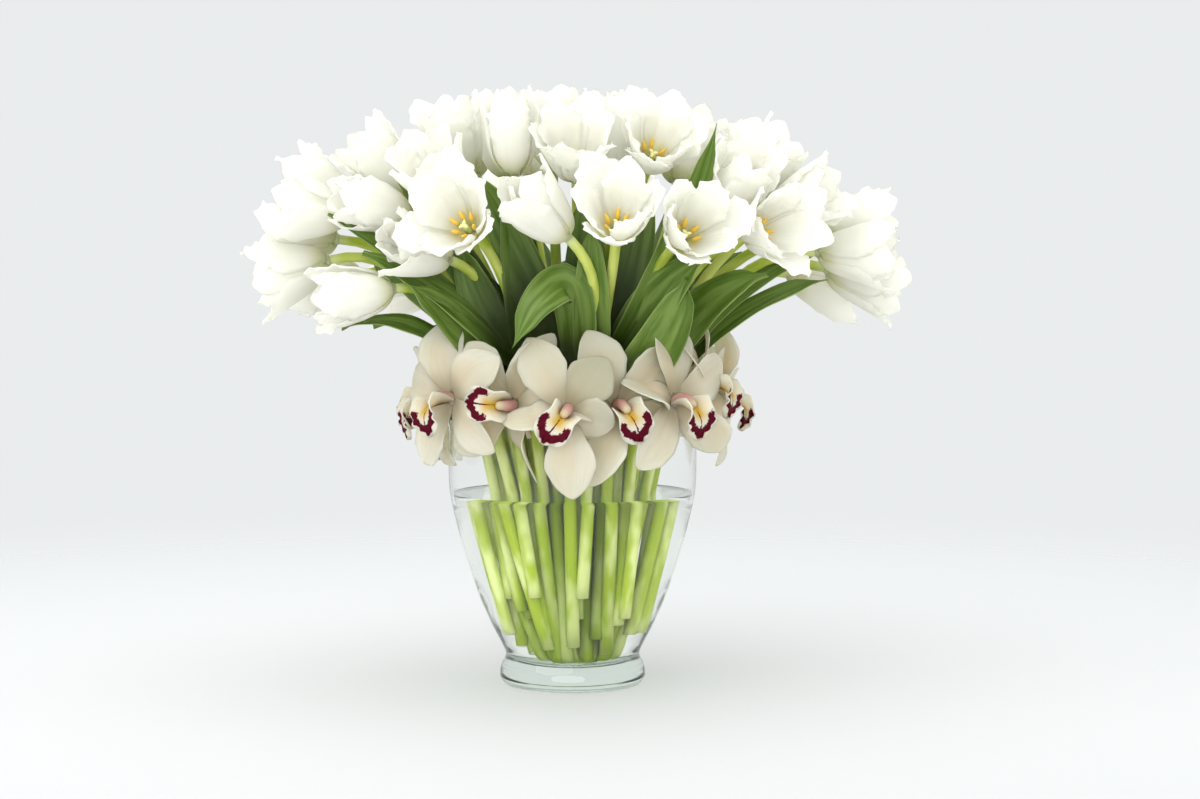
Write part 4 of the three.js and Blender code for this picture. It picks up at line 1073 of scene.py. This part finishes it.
def build_orchid(index, orchid):
    skin = Skin("along", "across", "seed", "flush", "shade", "throat", "gold", "pink", "hollow", "band")
    compass, radius, height, turn, reaches, twists = orchid
    forward = direction(compass, 90)
    centre = forward * radius + UP * height
    level = np.cross(UP, forward)
    c, d = cos_sin(turn)
    right, up = level * c + UP * d, UP * c - level * d
    # Orchids that face the front get more painted shade on their tepals, those at the sides less
    painted_shade_share = max(0.0, -forward[1]) ** 2

    def at(x, y, z):
        x, y, z = (np.expand_dims(value, -1) for value in (x, y, z))
        return centre + right * x + up * y + forward * z

    for k, (angle, reach, twist, shade) in enumerate(zip(TEPAL_ANGLES, reaches, twists, TEPAL_PAINTED_SHADES)):
        add_tepal(skin, at, index * 5 + k, angle, reach, twist, painted_shade_share * shade)
    add_lip(skin, at, index, up, forward)
    column = catmull_rom([at(*place) for place in COLUMN_PATH], column_s)
    add_rod(skin, column, table(column_s, COLUMN_RADIUS), 14, rounded=True, along=column_s, across=0.2,
            seed=index * 2.3, pink=table(column_s, COLUMN_PINK), gold=table(column_s, COLUMN_GOLD))
    hook = [forward * away + UP * (VASE_RIM + above) for away, above in STALK_HOOK]
    stalk = catmull_rom([at(0, 0, 1), *hook], np.linspace(0, 1, 16))
    add_rod(skin, stalk, [STALK_RADIUS] * len(stalk), 10, along=0.1, across=0.4, seed=index * 2.3, gold=0.25)
    number = f"{index + 1:02d}"
    skin.piece(f"orchid_flower_{number}", [orchid_material], "orchid_petal", f"orchid_{number}")


for index, orchid in enumerate(ORCHIDS):
    build_orchid(index, orchid)


# Vase and water

VASE_SEGMENTS = 128
RIM_RADIUS = VASE_OUTLINE[-1][0]
# The foot's underside: radius, height. The rim: distance in from the outside, height
FOOT_EDGE = [(0, 0), (46.5, 0), (48, 0.4)]
ROUND_RIM = [(0, 187.5), (0.3, 188.6), (1, VASE_RIM), (1.7, 188.6), (VASE_WALL, 187.5)]
FLAT_FLOOR = (12, BOWL_FLOOR + 0.4)
# Heights between which the glass turns from thin to thick
THICK_BELOW, THICK_TO = 19, 26
# How far the water reaches into the glass, so that no air shows between
INTO_GLASS = 0.25


def wall_inside(top):
    return [(r - VASE_WALL, z) for r, z in VASE_OUTLINE if BOWL_BOTTOM[0][1] < z < top]


def build_vase():
    outside = FOOT_EDGE + rounded_line([(48.6, 1), *VASE_OUTLINE[1:]])
    rim = [(RIM_RADIUS - away, z) for away, z in ROUND_RIM]
    wall = [(RIM_RADIUS - VASE_WALL, 185.5), *reversed(wall_inside(VASE_RIM - 4))]
    inside = rounded_line([*wall, *BOWL_BOTTOM, FLAT_FLOOR])
    profile = [*outside, *rim, *inside, (0, BOWL_FLOOR)]
    heights = np.array([z for _, z in profile])
    wet = (np.arange(len(profile)) >= len(outside) + len(rim)) & (heights < WATER_LEVEL)
    skin = Skin("thick", "wet")
    thick = smooth(THICK_TO, THICK_BELOW, heights)
    add_lathe(skin, profile, VASE_SEGMENTS, thick=thick, wet=wet)
    skin.piece("glass_vase", [clear_look("vase_glass", CLEAR, GLASS_IOR, GLASS_FOOT)], "clear_glass", "vase")


def build_water():
    below = [(r + INTO_GLASS, z - INTO_GLASS) for r, z in reversed(BOWL_BOTTOM)]
    wall = [(r + INTO_GLASS, z) for r, z in wall_inside(WATER_LEVEL)]
    shore = table(WATER_LEVEL, [(z, r) for r, z in VASE_OUTLINE]) - VASE_WALL + INTO_GLASS
    floor_edge = (FLAT_FLOOR[0], FLAT_FLOOR[1] - INTO_GLASS)
    side = rounded_line([floor_edge, *below, *wall, (shore, WATER_LEVEL + 0.35)])
    # The water rises a little at the glass
    meniscus = [(shore - 0.3, WATER_LEVEL + 0.25), (shore - 0.7, WATER_LEVEL)]
    profile = [(0, BOWL_FLOOR - INTO_GLASS), *side, *meniscus, (20, WATER_LEVEL), (0, WATER_LEVEL)]
    skin = Skin("wet")
    add_lathe(skin, profile, VASE_SEGMENTS, wet=1.0)
    top = np.abs(skin.points[0][:, 2] - WATER_LEVEL) < 0.01
    skin.slots = [int(all(top[k] for k in face)) for face in skin.faces]
    looks = [clear_look("clear_water", CLEAR_WATER, WATER_IOR), surface_look()]
    skin.piece("water_body", looks, "water", "water")


build_vase()
build_water()


# Floor, light and camera

FLOOR_SIZE = 3.0
FLOOR_DROP = 0.0002
corners = [(-1, -1), (1, -1), (1, 1), (-1, 1)]
floor = bpy.data.meshes.new("floor")
floor.from_pydata([(x * FLOOR_SIZE, y * FLOOR_SIZE, 0) for x, y in corners], [], [(0, 1, 2, 3)])
floor.materials.append(floor_look())
floor_object = put_in_scene("floor", floor)
floor_object.location.z = -FLOOR_DROP

# How much brighter the surroundings light things than they look, and how much less they are mirrored
EXTRA_GLOW = 0.72
MIRROR_LOSS = 0.3
world = bpy.data.worlds.new("studio")
world.use_nodes = True
background = world.node_tree.nodes["Background"]
studio = Nodes(world.node_tree)
studio.join((0.825, 0.845, 0.845), background.inputs["Color"])
lighting, glossy, transmitted = (
    studio.node("ShaderNodeLightPath", f"Is {kind} Ray") for kind in ("Diffuse", "Glossy", "Transmission"))
glow = studio.sums("MULTIPLY_ADD", lighting, EXTRA_GLOW, 1.0)
mirrored = studio.sums("SUBTRACT", glossy, transmitted, clamp=True)
studio.join(studio.sums("MULTIPLY_ADD", mirrored, -MIRROR_LOSS, glow), background.inputs["Strength"])
bpy.context.scene.world = world


def lamp(name, place, aim, wide, high, power):
    light = bpy.data.lights.new(name, "AREA")
    light.shape = "ELLIPSE"
    light.size, light.size_y, light.energy = wide, high, power
    item = put_in_scene(name, light)
    item.visible_transmission = False
    item.location = place
    x, y, z = np.subtract(aim, place)
    item.rotation_euler = (math.atan2(math.hypot(x, y), -z), 0, math.atan2(-x, y))


lamp("key_light", (-1.2, -1.6, 1.9), (0, 0, 0.25), 2.8, 2.4, 23)
lamp("top_light", (0.2, -0.1, 2.6), (0, 0, 0.3), 2.8, 2.8, 9)
lamp("front_light", (-0.4, -3.2, 0.55), (0, 0, 0.28), 3.2, 1.6, 34)

# The camera looks down and to the right
CAMERA_DOWN, CAMERA_RIGHT = 2.79, 0.69
camera = bpy.data.cameras.new("camera")
camera.lens = 68.6
camera.sensor_width = 36
camera_object = put_in_scene("camera", camera)
camera_object.location = (0, -1.6, 0.277)
camera_object.rotation_euler = ((90 - CAMERA_DOWN) * RADIANS, 0, -CAMERA_RIGHT * RADIANS)
bpy.context.scene.camera = camera_object
bpy.context.scene.view_settings.view_transform = "Standard"
